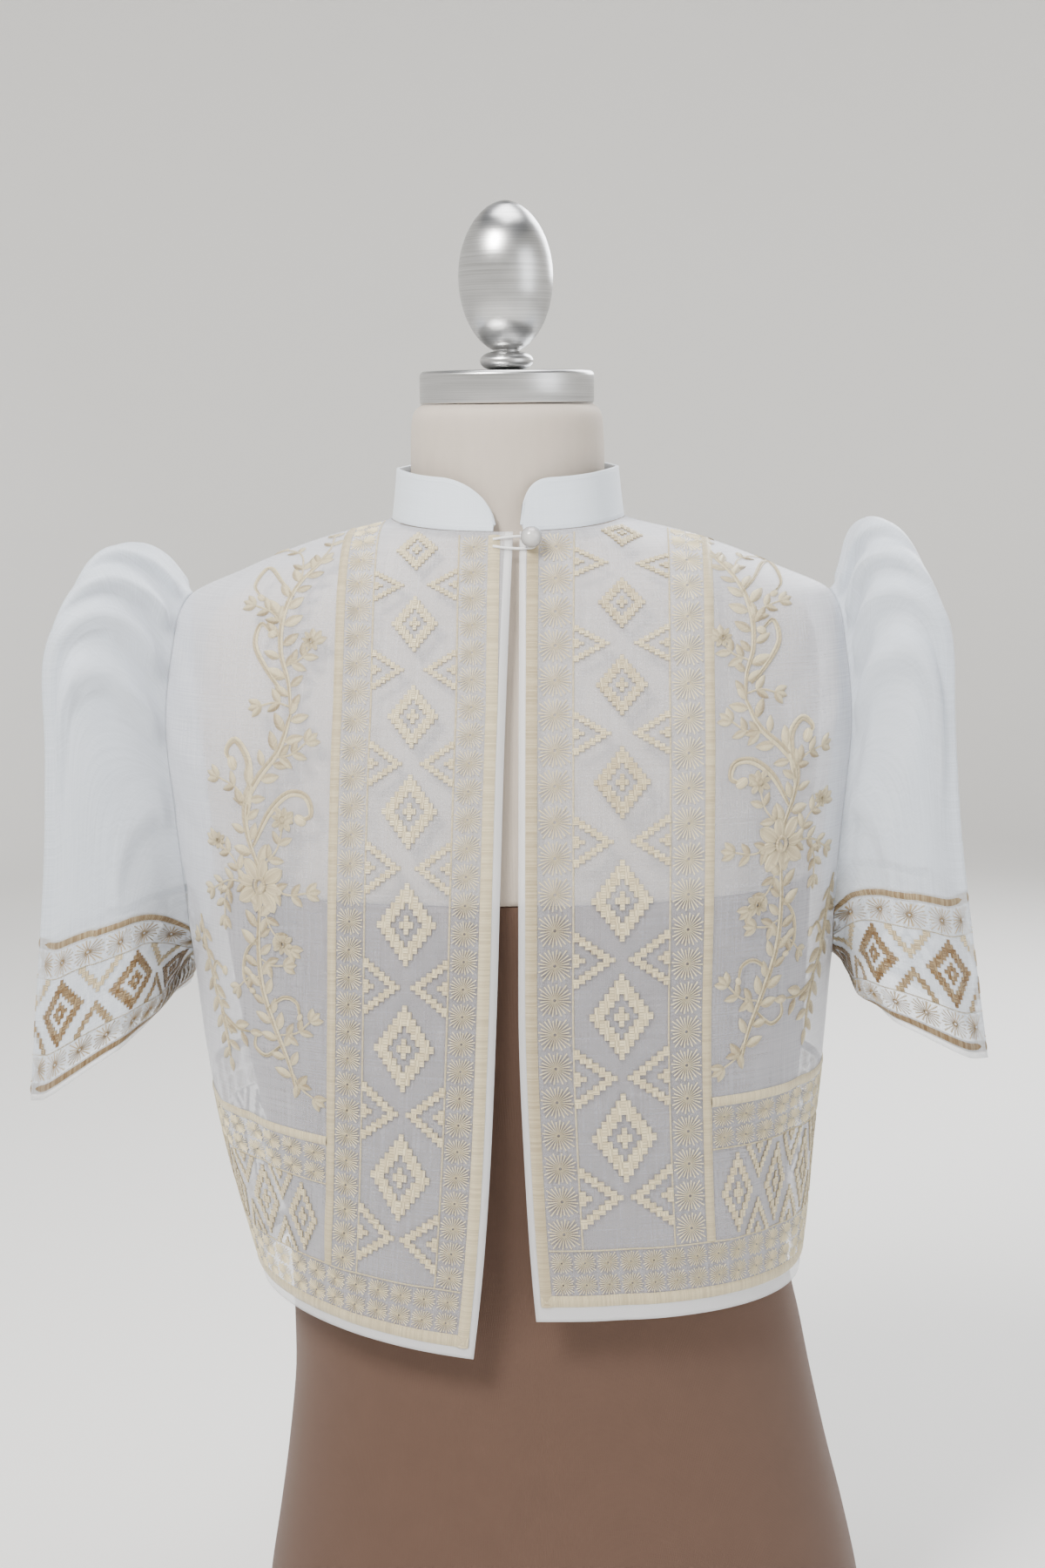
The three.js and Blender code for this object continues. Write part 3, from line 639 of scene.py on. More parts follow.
class SleeveLayout:
    """A sleeve laid flat: round from its outer fold, up from its cuff."""

    def __init__(self, name):
        self.name = name
        fine = np.linspace(0, FULL_TURN, 2881)
        around = walked(sleeve_point(name, 0.92, fine))
        self.girth = float(around[-1])
        self.round = np.linspace(0, self.girth, CUFF_COLUMNS + 1)
        self.turns = np.interp(self.round, around, fine)
        self.runs = np.linspace(0, 1, 101)
        points = sleeve_point(name, self.runs[:, None], self.turns[None, :])
        steps = np.linalg.norm(np.diff(points, axis=0), axis=2)[::-1]
        self.lengths = np.concatenate([np.zeros((1, len(self.turns))), np.cumsum(steps, axis=0)])
        self.corners = np.interp(HALF_TURN * np.array([0.25, 0.75, 1.25, 1.75]), self.turns, self.round)

    def band_height(self, around):
        """The embroidered band is deepest at the front fold and slopes up towards the body."""
        return np.interp(around, self.corners, BAND_HEIGHTS, period=self.girth)

    def lay(self, flat):
        """Turns rows of (round, up, raised) into points on the sleeve."""
        column = np.mod(flat[:, 0], self.girth) / self.girth * CUFF_COLUMNS
        first = np.minimum(column.astype(int), CUFF_COLUMNS - 1)
        share = column - first
        turn = self.turns[first] * (1 - share) + self.turns[first + 1] * share
        wanted = flat[:, 1]
        along = np.zeros_like(wanted)
        for index in np.unique(first):
            here = first == index
            low = np.interp(wanted[here], self.lengths[:, index], 1 - self.runs)
            high = np.interp(wanted[here], self.lengths[:, index + 1], 1 - self.runs)
            along[here] = low + (high - low) * share[here]
        return sleeve_point(self.name, along, turn, flat[:, 2])


# ---- meshes


def new_object(name, mesh, smooth=True):
    """Puts a mesh in the scene. A mesh that isn't smoothed keeps each face's own shading."""
    piece = bpy.data.objects.new(name, mesh)
    bpy.context.scene.collection.objects.link(piece)
    if smooth:
        mesh.shade_smooth()
    return piece


def mesh_from(name, shape):
    mesh = bpy.data.meshes.new(name)
    shape.to_mesh(mesh)
    shape.free()
    return mesh


def coordinates(mesh):
    places = np.empty(len(mesh.vertices) * 3)
    mesh.vertices.foreach_get("co", places)
    return places.reshape(-1, 3)


def set_coordinates(mesh, millimetres):
    mesh.vertices.foreach_set("co", (np.asarray(millimetres) * MM).reshape(-1))
    mesh.update()


def set_uv(mesh, values):
    """Stores each vertex's place in the flat lay-out, in millimetres, as a UV map."""
    layer = mesh.uv_layers.new(name="lay_out")
    index = np.empty(len(mesh.loops), int)
    mesh.loops.foreach_get("vertex_index", index)
    layer.data.foreach_set("uv", np.asarray(values, float)[index].reshape(-1))


def grid_mesh(name, columns, rows):
    """A flat grid mesh and its vertices' places, 0 to 1 across and up."""
    shape = bmesh.new()
    bmesh.ops.create_grid(shape, x_segments=columns, y_segments=rows, size=0.5)
    mesh = mesh_from(name, shape)
    return mesh, coordinates(mesh)[:, :2] + 0.5


def close_tube(mesh):
    """Joins a grid that was rolled into a tube along its first and last columns."""
    shape = bmesh.new()
    shape.from_mesh(mesh)
    bmesh.ops.remove_doubles(shape, verts=shape.verts, dist=0.00002)
    shape.to_mesh(mesh)
    shape.free()


def face_outward(mesh):
    """Turns a closed mesh's faces outward."""
    shape = bmesh.new()
    shape.from_mesh(mesh)
    bmesh.ops.recalc_face_normals(shape, faces=shape.faces)
    shape.to_mesh(mesh)
    shape.free()


def thicken(piece, thickness):
    """Gives a cloth piece its thickness, in metres, on its inner side."""
    wall = piece.modifiers.new("cloth_thickness", "SOLIDIFY")
    wall.thickness = thickness
    wall.offset = -1.0


def roll_edges(piece, width, segments, sharper_than):
    """Rounds the edges that are sharper than an angle in degrees. width is in millimetres."""
    edge = piece.modifiers.new("rolled_edge", "BEVEL")
    edge.width = width * MM
    edge.segments = segments
    edge.limit_method = "ANGLE"
    edge.angle_limit = math.radians(sharper_than)


def finish_piece(piece, node, material):
    """Gives a piece its finish and its slot, puts it under the root body, and hides the solid it stands in
    for.
    """
    piece.data.materials.clear()
    piece.data.materials.append(material)
    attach(piece, "root")
    if node:
        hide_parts(node)


# ---- cloth pieces

FRONT_GRID = (96, 190)
BACK_GRID = (150, 150)
SLEEVE_GRID = (300, 110)
COLLAR_GRID = (220, 12)


def make_body_panel(layout, thickness):
    """One body panel: a fine grid hung on the cut, with its flat lay-out kept as a UV map."""
    name = layout.name
    in_back = name == "back"
    mesh, shares = grid_mesh(name + "_cloth", *(BACK_GRID if in_back else FRONT_GRID))
    across = shares[:, 0] if name != "front_right" else 1 - shares[:, 0]
    angle, level = panel_place(name, across, shares[:, 1])
    points = cloth_point(angle, level)
    at_seam = np.abs(np.abs(np.sin(angle)) - 1) < 1e-6
    points[:, 1] += np.where(at_seam, SEAM_GAP / 2 if in_back else -SEAM_GAP / 2, 0)
    set_uv(mesh, layout.flat_of(angle, level))
    set_coordinates(mesh, points)
    piece = new_object(name + "_cloth", mesh)
    thicken(piece, thickness)
    flat = (layout.width() * MM, (layout.rises[-1] - NECK_ALLOWANCE) * MM)
    return piece


def make_sleeve(name, thickness):
    """One sleeve: a grid rolled into a tube, pleated at its head and pressed along its folds."""
    mesh, shares = grid_mesh(name + "_cloth", *SLEEVE_GRID)
    layout = SleeveLayout(name)
    # Rings lie a little closer together at the pleated head.
    along = (1 - shares[:, 1]) ** 1.15
    around = layout.girth * (shares[:, 0] if name == "sleeve_left" else 1 - shares[:, 0])
    turn = np.interp(around, layout.round, layout.turns)
    column = np.round(around / layout.girth * CUFF_COLUMNS).astype(int)
    up = np.zeros_like(along)
    for index in np.unique(column):
        here = column == index
        up[here] = np.interp(1 - along[here], 1 - layout.runs[::-1], layout.lengths[:, index])
    set_uv(mesh, np.stack([around, up], axis=-1))
    set_coordinates(mesh, sleeve_point(name, along, turn))
    close_tube(mesh)
    piece = new_object(name + "_cloth", mesh)
    thicken(piece, thickness)
    return piece


def collar_end(side):
    """The ring angle at which the collar's front end stands on the neckline."""
    column = EDGE_COLUMNS.index(side)
    edge = float(angle_at_x(np.array([FRONT_EDGES[-1][column]]), np.array([float(NECK_HEIGHT["front"])]))[0])
    setback = COLLAR_ENDS[side][2] / NECK_RADIUS
    return edge + setback if side == "left" else FULL_TURN + edge - setback


def collar_rise(angle, side):
    """The stand collar's height falls in a round to almost nothing at a front end."""
    run, fullness, _ = COLLAR_ENDS[side]
    share = np.clip(np.abs(angle - collar_end(side)) * NECK_RADIUS / run, 0, 1)
    return COLLAR_HEIGHT * (0.12 + 0.88 * (1 - (1 - share) ** fullness) ** (1 / fullness))


def make_collar(thickness):
    """The stand collar: a doubled band that leans in a little, with rounded front ends."""
    mesh, shares = grid_mesh("collar_band", *COLLAR_GRID)
    start, end = collar_end("left"), collar_end("right")
    eased = shares[:, 0] - 0.6 * np.sin(FULL_TURN * shares[:, 0]) / FULL_TURN
    angle = start + (end - start) * eased
    top = np.minimum(collar_rise(angle, "left"), collar_rise(angle, "right"))
    lift = top * shares[:, 1]
    foot_height = neck_height(angle) + SEAM_GAP
    foot = body_point(angle, foot_height)
    radius = np.hypot(foot[:, 0], foot[:, 1])
    lean = 1 - COLLAR_LEAN * lift / COLLAR_HEIGHT / radius
    puff = 1 - 0.5 * np.sin(HALF_TURN * shares[:, 1]) ** 0.5 * 0.006
    ripple = 1 + 0.0016 * np.sin(angle * 9 + 1) * shares[:, 1]
    drawn_in = lean * puff * ripple
    set_uv(mesh, np.stack([angle * NECK_RADIUS, np.minimum(lift, top - lift)], axis=-1))
    places = [foot[:, 0] * drawn_in, foot[:, 1] * drawn_in, foot_height + lift]
    set_coordinates(mesh, np.stack(places, axis=-1))
    piece = new_object("collar_band", mesh)
    thicken(piece, thickness)
    roll_edges(piece, 0.5, 2, 30)
    return piece


# ---- dress form

FORM_COLUMNS = 160


def make_form_part(name, low, high, rows):
    """A stretch of the padded form between two levels, closed above and below."""
    shape = bmesh.new()
    bmesh.ops.create_cone(shape, cap_ends=True, segments=FORM_COLUMNS, radius1=1, radius2=1, depth=1)
    walls = [edge for edge in shape.edges if abs(edge.verts[0].co.z - edge.verts[1].co.z) > 0.5]
    bmesh.ops.subdivide_edges(shape, edges=walls, cuts=rows - 1, use_grid_fill=True)
    mesh = mesh_from(name, shape)
    places = coordinates(mesh)
    angle = np.arctan2(places[:, 0], -places[:, 1])
    level = low + (high - low) * (places[:, 2] + 0.5)
    set_uv(mesh, np.stack([angle * BODY_RADIUS, level], axis=-1))
    set_coordinates(mesh, ring_point(FORM_RINGS, angle, level))
    piece = new_object(name, mesh)
    # Only the two flat ends have more than four corners.
    for polygon in mesh.polygons:
        polygon.use_smooth = len(polygon.vertices) < 5
    return piece


def spun_profile(name, profile, steps):
    """A closed turned shape: its half outline (radius, height) spun about +Z."""
    shape = bmesh.new()
    corners = [shape.verts.new((radius * MM, 0, height * MM)) for radius, height in profile]
    edges = [shape.edges.new(pair) for pair in zip(corners, corners[1:])]
    bmesh.ops.spin(shape, geom=corners + edges, cent=(0, 0, 0), axis=(0, 0, 1), angle=FULL_TURN,
                   steps=steps, use_merge=True)
    bmesh.ops.remove_doubles(shape, verts=shape.verts, dist=0.00001)
    bmesh.ops.recalc_face_normals(shape, faces=shape.faces)
    return new_object(name, mesh_from(name, shape))


def make_finial():
    """The egg-shaped metal top on its flattened bead."""
    base = NECK_TOP_HEIGHT + NECK_CAP_HEIGHT + 2 * SEAM_GAP
    bead_radius, bead_half, bead_cut = 14.5, 5, 0.35
    egg_radius, egg_half, egg_cut = 25.6, 40.5, 0.22
    profile = [(0, base)]
    for step in range(17):
        angle = bead_cut + (HALF_TURN - 2 * bead_cut) * step / 16
        rise = bead_half * (1 - math.cos(angle) / math.cos(bead_cut))
        profile.append((bead_radius * math.sin(angle) ** 0.6, base + rise))
    egg_foot = base + 2 * bead_half
    for step in range(1, 60):
        angle = egg_cut + (HALF_TURN - egg_cut) * step / 60
        radius = egg_radius * math.sin(angle) ** (1.08 if angle > QUARTER_TURN else 1)
        profile.append((radius, egg_foot + egg_half * (math.cos(egg_cut) - math.cos(angle))))
    profile.append((0, egg_foot + egg_half * (1 + math.cos(egg_cut))))
    return spun_profile("finial_metal", profile, 128)


def make_neck_cap():
    """The round metal cap on the neck, with a small rolled top edge."""
    base = NECK_TOP_HEIGHT + SEAM_GAP
    radius, roll = 47.4, 2.8
    profile = [(0, base), (radius - 1.1, base), (radius - 0.3, base + 0.4), (radius, base + 1.1),
               (radius, base + NECK_CAP_HEIGHT - 3)]
    for step in range(1, 9):
        angle = QUARTER_TURN * step / 8
        profile.append((radius - roll * (1 - math.cos(angle)),
                        base + NECK_CAP_HEIGHT - roll * (1 - math.sin(angle))))
    profile += [(30, base + NECK_CAP_HEIGHT), (0, base + NECK_CAP_HEIGHT)]
    return spun_profile("neck_cap_metal", profile, 128)


# ---- pearl and loop


def button_place():
    """Where the pearl sits: a point on the cloth and the way straight out of it."""
    height = np.array([float(BUTTON_HEIGHT)])
    angle = angle_at_x(float(BUTTON_X), height)
    return body_point(angle, height)[0], body_normal(angle, height)[0]


def make_pearl():
    """A pearl button on a short shank."""
    radius, shank, shank_length = 5.6, 1.5, 1.4
    joint = math.asin(shank / radius)
    centre = shank_length + radius * math.cos(joint)
    profile = [(0, 0), (shank, 0), (shank, shank_length)]
    for step in range(1, 32):
        angle = joint + (HALF_TURN - joint) * step / 32
        profile.append((radius * math.sin(angle), centre - radius * math.cos(angle)))
    profile.append((0, centre + radius))
    piece = spun_profile("pearl_button", profile, 48)
    point, normal = button_place()
    turn = Vector((0, 0, 1)).rotation_difference(Vector(normal)).to_matrix().to_4x4()
    place = Matrix.Translation(Vector((point + normal * SEAM_GAP) * MM))
    piece.data.transform(place @ turn)
    return piece


def thread_tube(name, route, radius):
    """A round thread through a row of places, in millimetres, with a flat cap at each end."""
    curve = bpy.data.curves.new(name + "_route", "CURVE")
    curve.dimensions = "3D"
    curve.resolution_u = 8
    curve.bevel_depth = radius * MM
    curve.bevel_resolution = 2
    curve.use_fill_caps = True
    spline = curve.splines.new("BEZIER")
    spline.bezier_points.add(len(route) - 1)
    for knot, place in zip(spline.bezier_points, route):
        knot.co = Vector(place) * MM
        knot.handle_left_type = "AUTO"
        knot.handle_right_type = "AUTO"
    holder = bpy.data.objects.new(name + "_route", curve)
    bpy.context.scene.collection.objects.link(holder)
    mesh = bpy.data.meshes.new_from_object(holder)
    bpy.data.objects.remove(holder)
    bpy.data.curves.remove(curve)
    face_outward(mesh)
    return new_object(name, mesh)


def make_button_loop():
    """The thread loop that holds the pearl, from the right front round the shank and back."""
    thread_radius, lift = 0.7, 1.1
    # x, and the height as a share of the loop's half width.
    stations = [
        (-4.8, 0.6), (2.2, 0.9), (12.6, 1.0), (16.7, 0.75), (17.6, 0.0),
        (16.7, -0.75), (12.6, -1.0), (2.2, -0.9), (-4.8, -0.6),
    ]
    route = []
    for x, share in stations:
        height = np.array([BUTTON_HEIGHT + LOOP_HALF_WIDTH * share])
        route.append(cloth_point(angle_at_x(x, height), height, lift)[0])
    return thread_tube("pearl_loop", route, thread_radius)


# ---- embroidery, drawn flat

# Thread tones, from the pale gold floss (0) to the brown gold floss (1).
PALE, WARM, BROWN = 0.12, 0.42, 0.85
SATIN_RAISED = 0.8
LINE_RAISED = 0.5

# The upright band beside each opening: widths in millimetres from the edge, outwards.
OPENING_BAND = {
    "front_left": {
        "edge": 3.5, "satin": 6, "stars": 18, "line": 0.9, "field": 49, "outer_satin": 5.2, "warmth": 0.16,
    },
    "front_right": {
        "edge": 4, "satin": 6.2, "stars": 14.8, "line": 0.9, "field": 43.5, "outer_satin": 4.8, "warmth": 0,
    },
}
# The band along the hem: heights in millimetres from the hem, upwards. Its stars stand in two rows.
HEM_BAND = {
    "front_left": {"edge": 8.5, "satin": 6.5, "stars": 12.5, "line": 0.9, "field": 51, "upper_satin": 5.5},
    "front_right": {"edge": 6, "satin": 7, "stars": 12.5, "line": 0.9, "field": 49, "upper_satin": 5.5},
    "back": {"edge": 7, "satin": 6.8, "stars": 12.5, "line": 0.9, "field": 50, "upper_satin": 5.5},
}
# The level of each diamond's middle on the two fronts, and its width and height.
DIAMONDS = {
    "front_right": [
        (354, 32, 50), (426, 31.5, 47), (492, 30.5, 43), (549, 28.5, 38),
        (596, 26, 33), (642, 24, 30), (679, 22, 25),
    ],
    "front_left": [
        (377, 34, 49), (443, 33, 46), (504, 31.5, 42), (563, 29, 37),
        (611, 26.5, 32), (652, 24.5, 28), (686, 22, 24),
    ],
}
# Diamonds of the left front that are lower than this are given a deeper thread tone as painted shade.
PAINTED_SHADE_DIAMOND_HEIGHT = 39
TALLEST_DIAMOND = 48
FIELD_WIDTH = 46.5
# The stepped motifs' widths and heights before they are sized.
DIAMOND_SIZE = (33, 48.4)
SMALL_DIAMOND_SIZE = (28, 41)
HALF_SIZE = (34, 20)
# The length of a stem stitch.
STEM_STITCH = 1.6

# Stems on the right front: places (across from the opening edge, level), from root to tip, their width
# and the length between leaves, or none where there are no leaves.
FRONT_STEMS = [
    ([(108, 393), (113, 410), (122, 430), (130, 452), (132, 476), (130, 500)], 2.6, 8.5),
    ([(130, 516), (137, 532), (139, 548), (131, 563), (119, 578), (113, 596)], 3.0, 9.5),
    ([(113, 596), (115, 612), (120, 628), (119, 646), (111, 662), (100, 672)], 2.2, 8.5),
    ([(138, 540), (136, 556), (137, 572), (145, 582), (151, 576), (147, 570)], 3.2, None),
    ([(134, 528), (124, 546), (113, 556), (103, 555), (100, 546), (106, 543)], 3.0, None),
    ([(117, 606), (126, 616), (135, 630), (132, 641), (125, 636)], 2.4, None),
    ([(114, 655), (122, 662), (132, 668), (138, 660), (133, 654)], 2.2, None),
    ([(132, 480), (141, 470), (143, 456), (137, 449)], 1.8, None),
    ([(127, 440), (116, 448), (108, 446), (106, 438)], 1.8, None),
    ([(118, 420), (128, 412), (136, 416), (135, 424)], 1.8, None),
    ([(180, 486), (176, 460), (170, 442), (162, 430)], 2.0, 8.0),
    ([(164, 433), (172, 446), (168, 460), (159, 457)], 2.4, None),
    ([(162, 430), (150, 424), (140, 424)], 1.5, 8.0),
    ([(165, 432), (160, 416), (158, 404)], 1.5, 8.0),
]
# Sprigs: start, tip, and pairs of leaves.
FRONT_SPRIGS = [
    ((136, 508), (164, 503), 3),
    ((142, 512), (160, 528), 2),
    ((150, 507), (156, 489), 2),
    ((124, 508), (102, 506), 2),
    ((128, 518), (116, 540), 2),
    ((128, 496), (112, 476), 2),
    ((130, 468), (116, 466), 1),
    ((131, 458), (147, 450), 1),
    ((118, 426), (100, 436), 2),
    ((110, 404), (98, 392), 1),
    ((136, 548), (156, 562), 2),
    ((122, 574), (104, 582), 2),
    ((114, 600), (130, 600), 1),
    ((117, 620), (102, 632), 2),
    ((119, 640), (136, 650), 2),
    ((110, 662), (126, 676), 2),
    ((106, 668), (96, 684), 2),
    ((176, 462), (190, 470), 1),
]
# Flowers: across, level and radius.
FRONT_FLOWERS = [(130, 508, 17), (116, 478, 7), (116, 543, 7.5), (158, 529, 5.5), (103, 633, 6)]
# The back's own, across from its middle. Each is worked on both sides.
BACK_STEMS = [
    ([(46, 398), (58, 424), (78, 448), (92, 476), (92, 504)], 2.6, 9.0),
    ([(92, 520), (84, 540), (68, 558), (60, 580), (66, 604), (64, 630), (52, 654)], 2.8, 9.0),
    ([(62, 430), (46, 440), (34, 456), (42, 468), (50, 461)], 2.4, None),
    ([(88, 464), (108, 470), (122, 486), (118, 500), (109, 496)], 2.4, None),
    ([(78, 546), (98, 556), (108, 572), (101, 582), (94, 575)], 2.4, None),
    ([(64, 566), (48, 560), (34, 568), (38, 580), (46, 576)], 2.4, None),
    ([(46, 398), (76, 394), (108, 400), (136, 394)], 1.8, 9.0),
    ([(64, 612), (78, 622), (90, 638), (84, 646)], 2.0, None),
]
BACK_SPRIGS = [
    ((98, 512), (124, 520), 3),
    ((84, 508), (62, 504), 2),
    ((92, 520), (104, 544), 2),
    ((56, 420), (38, 414), 2),
    ((62, 584), (44, 600), 2),
    ((65, 600), (84, 606), 2),
    ((60, 640), (44, 656), 2),
    ((108, 400), (122, 418), 2),
    ((76, 396), (88, 414), 2),
    ((136, 394), (154, 400), 2),
    ((10, 560), (24, 590), 2),
    ((8, 540), (24, 516), 2),
]
BACK_FLOWERS = [(92, 512, 13), (0, 550, 14), (0, 420, 10), (124, 420, 5.5), (88, 416, 5.5), (44, 601, 5.5)]


class Needlework:
    """Raised thread shapes on a flat lay-out: across, up and raised, in millimetres."""

    def __init__(self):
        self.shape = bmesh.new()
        self.stitch = self.shape.loops.layers.uv.new("stitch")

    def patch(self, columns, rows, place, stitch, rounded=True):
        """A grid of thread. place and stitch take shares across and up, from 0 to 1."""
        made = bmesh.ops.create_grid(self.shape, x_segments=columns, y_segments=rows, size=0.5)["verts"]
        shares = {vert: (vert.co.x + 0.5, vert.co.y + 0.5) for vert in made}
        faces = {face for vert in made for face in vert.link_faces}
        for face in faces:
            face.smooth = rounded
            for loop in face.loops:
                loop[self.stitch].uv = stitch(*shares[loop.vert])
        for vert in made:
            vert.co = place(*shares[vert])

    def strip(self, route, width, height, tone, across=2, lean=0.0):
        """A band of side-by-side stitches along a route of flat places."""
        route = np.asarray(route, float)
        lengths = walked(route)
        ahead = unit(np.gradient(route, axis=0))
        widths = np.broadcast_to(np.asarray(width, float), (len(route),))
        count = len(route) - 1

        def at(along):
            return int(round(along * count))

        def place(side, along):
            index = at(along)
            x, y = route[index]
            off = (side - 0.5) * widths[index]
            dome = height * (1 - (2 * side - 1) ** 2) + 0.12
            return Vector((x - ahead[index][1] * off, y + ahead[index][0] * off, dome))

        def stitch(side, along):
            index = at(along)
            return (lengths[index] + lean * side * widths[index], tone)

        self.patch(across, count, place, stitch)

    def stamp(self, motif, x, y, width=1.0, height=1.0, turn=0.0):
        """Copies a motif to a flat place, sized and turned."""
        template = templates()[motif]
        move = Matrix.Translation((x, y, 0)) @ Matrix.Rotation(turn, 4, "Z")
        move = move @ Matrix.Diagonal((width, height, 1, 1))
        template.transform(move)
        self.shape.from_mesh(template)
        template.transform(move.inverted())

    def join(self):
        """Joins a patch that was rolled into a ring."""
        bmesh.ops.remove_doubles(self.shape, verts=self.shape.verts, dist=0.0001)

    def template(self, name):
        """Ends the work as a flat mesh for stamping."""
        return mesh_from(name, self.shape)

    def finish(self, name, lay):
        """Lays the flat work on its cloth."""
        mesh = mesh_from(name, self.shape)
        set_coordinates(mesh, lay(coordinates(mesh)))
        return new_object(name, mesh, smooth=False)


def ray_of_thread(work, angle, reach, thickness, tones):
    """One thread of a star square, from near its middle out to its border."""
    start = 0.045
    direction = Vector((math.cos(angle), math.sin(angle), 0))
    aside = Vector((-direction.y, direction.x, 0))

    def place(side, along):
        width = thickness * (0.012 + 0.03 * along)
        out = direction * (start + (reach - start) * along) + aside * (side - 0.5) * width
        return Vector((out.x, out.y, 0.8 if side == 0.5 else 0.6 - 0.45 * along))

    def stitch(side, along):
        return (0.1 + side * 0.38, tones[0] + (tones[1] - tones[0]) * along)

    work.patch(2, 1, place, stitch)


def star_template(name, tones, rays=24, thickness=1.0):
    """One square of the star rows: thin rays of single threads. tones are at its middle and its border."""
    work = Needlework()
    for ray in range(rays):
        angle = FULL_TURN * (ray + 0.5) / rays
        reach = 0.47 / max(abs(math.cos(angle)), abs(math.sin(angle))) ** 0.72
        reach *= 1.0 if ray % 2 else 0.88
        ray_of_thread(work, angle, reach, thickness, tones)
    return work.template(name)


def block(work, x, y, width, height, raised, tone, upright):
    """One flat step of a stepped motif, with steep sides."""
    inner_spread = 2.82

    def place(across, up):
        inner = across not in (0, 1) and up not in (0, 1)
        spread = inner_spread if inner else 1.0
        return Vector((x + (across - 0.5) * width * spread, y + (up - 0.5) * height * spread,
                       raised if inner else 0.1))

    def stitch(across, up):
        return ((across * width if upright else up * height) + x * 1.7 + y, tone)

    work.patch(3, 3, place, stitch, rounded=False)


def stepped_template(name, reach, rings, tone, half=False, cell=(2.54, 3.72)):
    """A stepped diamond, or the upper half of one. rings are the counts of steps from its middle."""
    work = Needlework()
    overlap = 1.04
    for column in range(-reach, reach + 1):
        for row in range(0 if half else -reach, reach + 1):
            steps = abs(column) + abs(row)
            if steps in rings:
                block(work, column * cell[0], row * cell[1], cell[0] * overlap, cell[1] * overlap,
                      0.75 + 0.1 * (steps % 2), tone + (0.05 if row % 2 else 0), bool(column % 2))
    return work.template(name)


def leaf_template(name, length, width, tone):
    """An almond leaf in satin stitch with a sunk middle vein. It starts at the origin, along +X."""
    work = Needlework()

    def place(along, side):
        bulge = math.sin(HALF_TURN * along**0.85) ** 0.8
        off = 2 * side - 1
        raised = 0.12 + 0.95 * (1 - off * off) * bulge - 0.45 * math.exp(-((off / 0.22) ** 2)) * bulge
        return Vector((along * length, off * width / 2 * bulge, raised))

    # Painted light: one half of each leaf is deepened as painted shade and the other half made paler as a
    # painted highlight.
    def stitch(along, side):
        return (along * length - abs(2 * side - 1) * width * 0.5, tone + (0.26 if side < 0.5 else -0.08))

    work.patch(8, 6, place, stitch)
    return work.template(name)


def petal_template(tone):
    """A rounded petal of unit length, domed, starting at the origin along +X."""
    work = Needlework()

    def place(along, side):
        bulge = math.sin(HALF_TURN * min(1.0, along * 0.93 + 0.07)) ** 0.55
        off = 2 * side - 1
        rim = math.exp(-(((abs(off) - 0.78) / 0.25) ** 2))
        raised = 0.12 + 0.5 * (1 - off * off) + 0.6 * rim * (1 - off**8)
        return Vector((along, off * 0.46 * bulge, raised))

    def stitch(along, side):
        return (side * 9.0, tone + 0.3 * (1 - abs(2 * side - 1)) * (1 - along))

    work.patch(7, 8, place, stitch)
    return work.template("petal")


def eyelet_template(tone):
    """A worked ring round a small hole, of unit outer radius."""
    work = Needlework()

    def place(round_share, side):
        angle = FULL_TURN * round_share
        radius = 0.45 + 0.55 * side
        raised = 0.12 + 1.1 * (1 - (2 * side - 1) ** 2)
        return Vector((radius * math.cos(angle), radius * math.sin(angle), raised))

    work.patch(20, 4, place, lambda round_share, side: (round_share * 24, tone))
    work.join()
    return work.template("eyelet")


def bud_template(tone):
    """A small domed bud of unit radius."""
    work = Needlework()

    def place(round_share, out):
        angle = FULL_TURN * round_share
        raised = 0.12 + 1.25 * math.sqrt(1 - out * out)
        return Vector((out * math.cos(angle), out * math.sin(angle), raised))

    work.patch(14, 4, place, lambda round_share, out: (out * 2 * math.cos(FULL_TURN * round_share), tone))
    work.join()
    return work.template("bud")


def smooth_route(knots, spacing):
    """A smooth curve through given knots, as evenly spaced places."""
    knots = np.asarray(knots, float)
    padded = np.vstack([2 * knots[0] - knots[1], knots, 2 * knots[-1] - knots[-2]])
    places = []
    for before, start, end, after in zip(padded, padded[1:], padded[2:], padded[3:]):
        for share in np.linspace(0, 1, 14, endpoint=False):
            square, cube = share**2, share**3
            places.append(0.5 * (2 * start + (end - before) * share
                                 + (2 * before - 5 * start + 4 * end - after) * square
                                 + (3 * start - before - 3 * end + after) * cube))
    places.append(padded[-2])
    places = np.array(places)
    lengths = walked(places)
    wanted = np.linspace(0, lengths[-1], max(3, int(lengths[-1] / spacing)))
    return np.stack([np.interp(wanted, lengths, places[:, axis]) for axis in (0, 1)], axis=-1)


TEMPLATES = {}


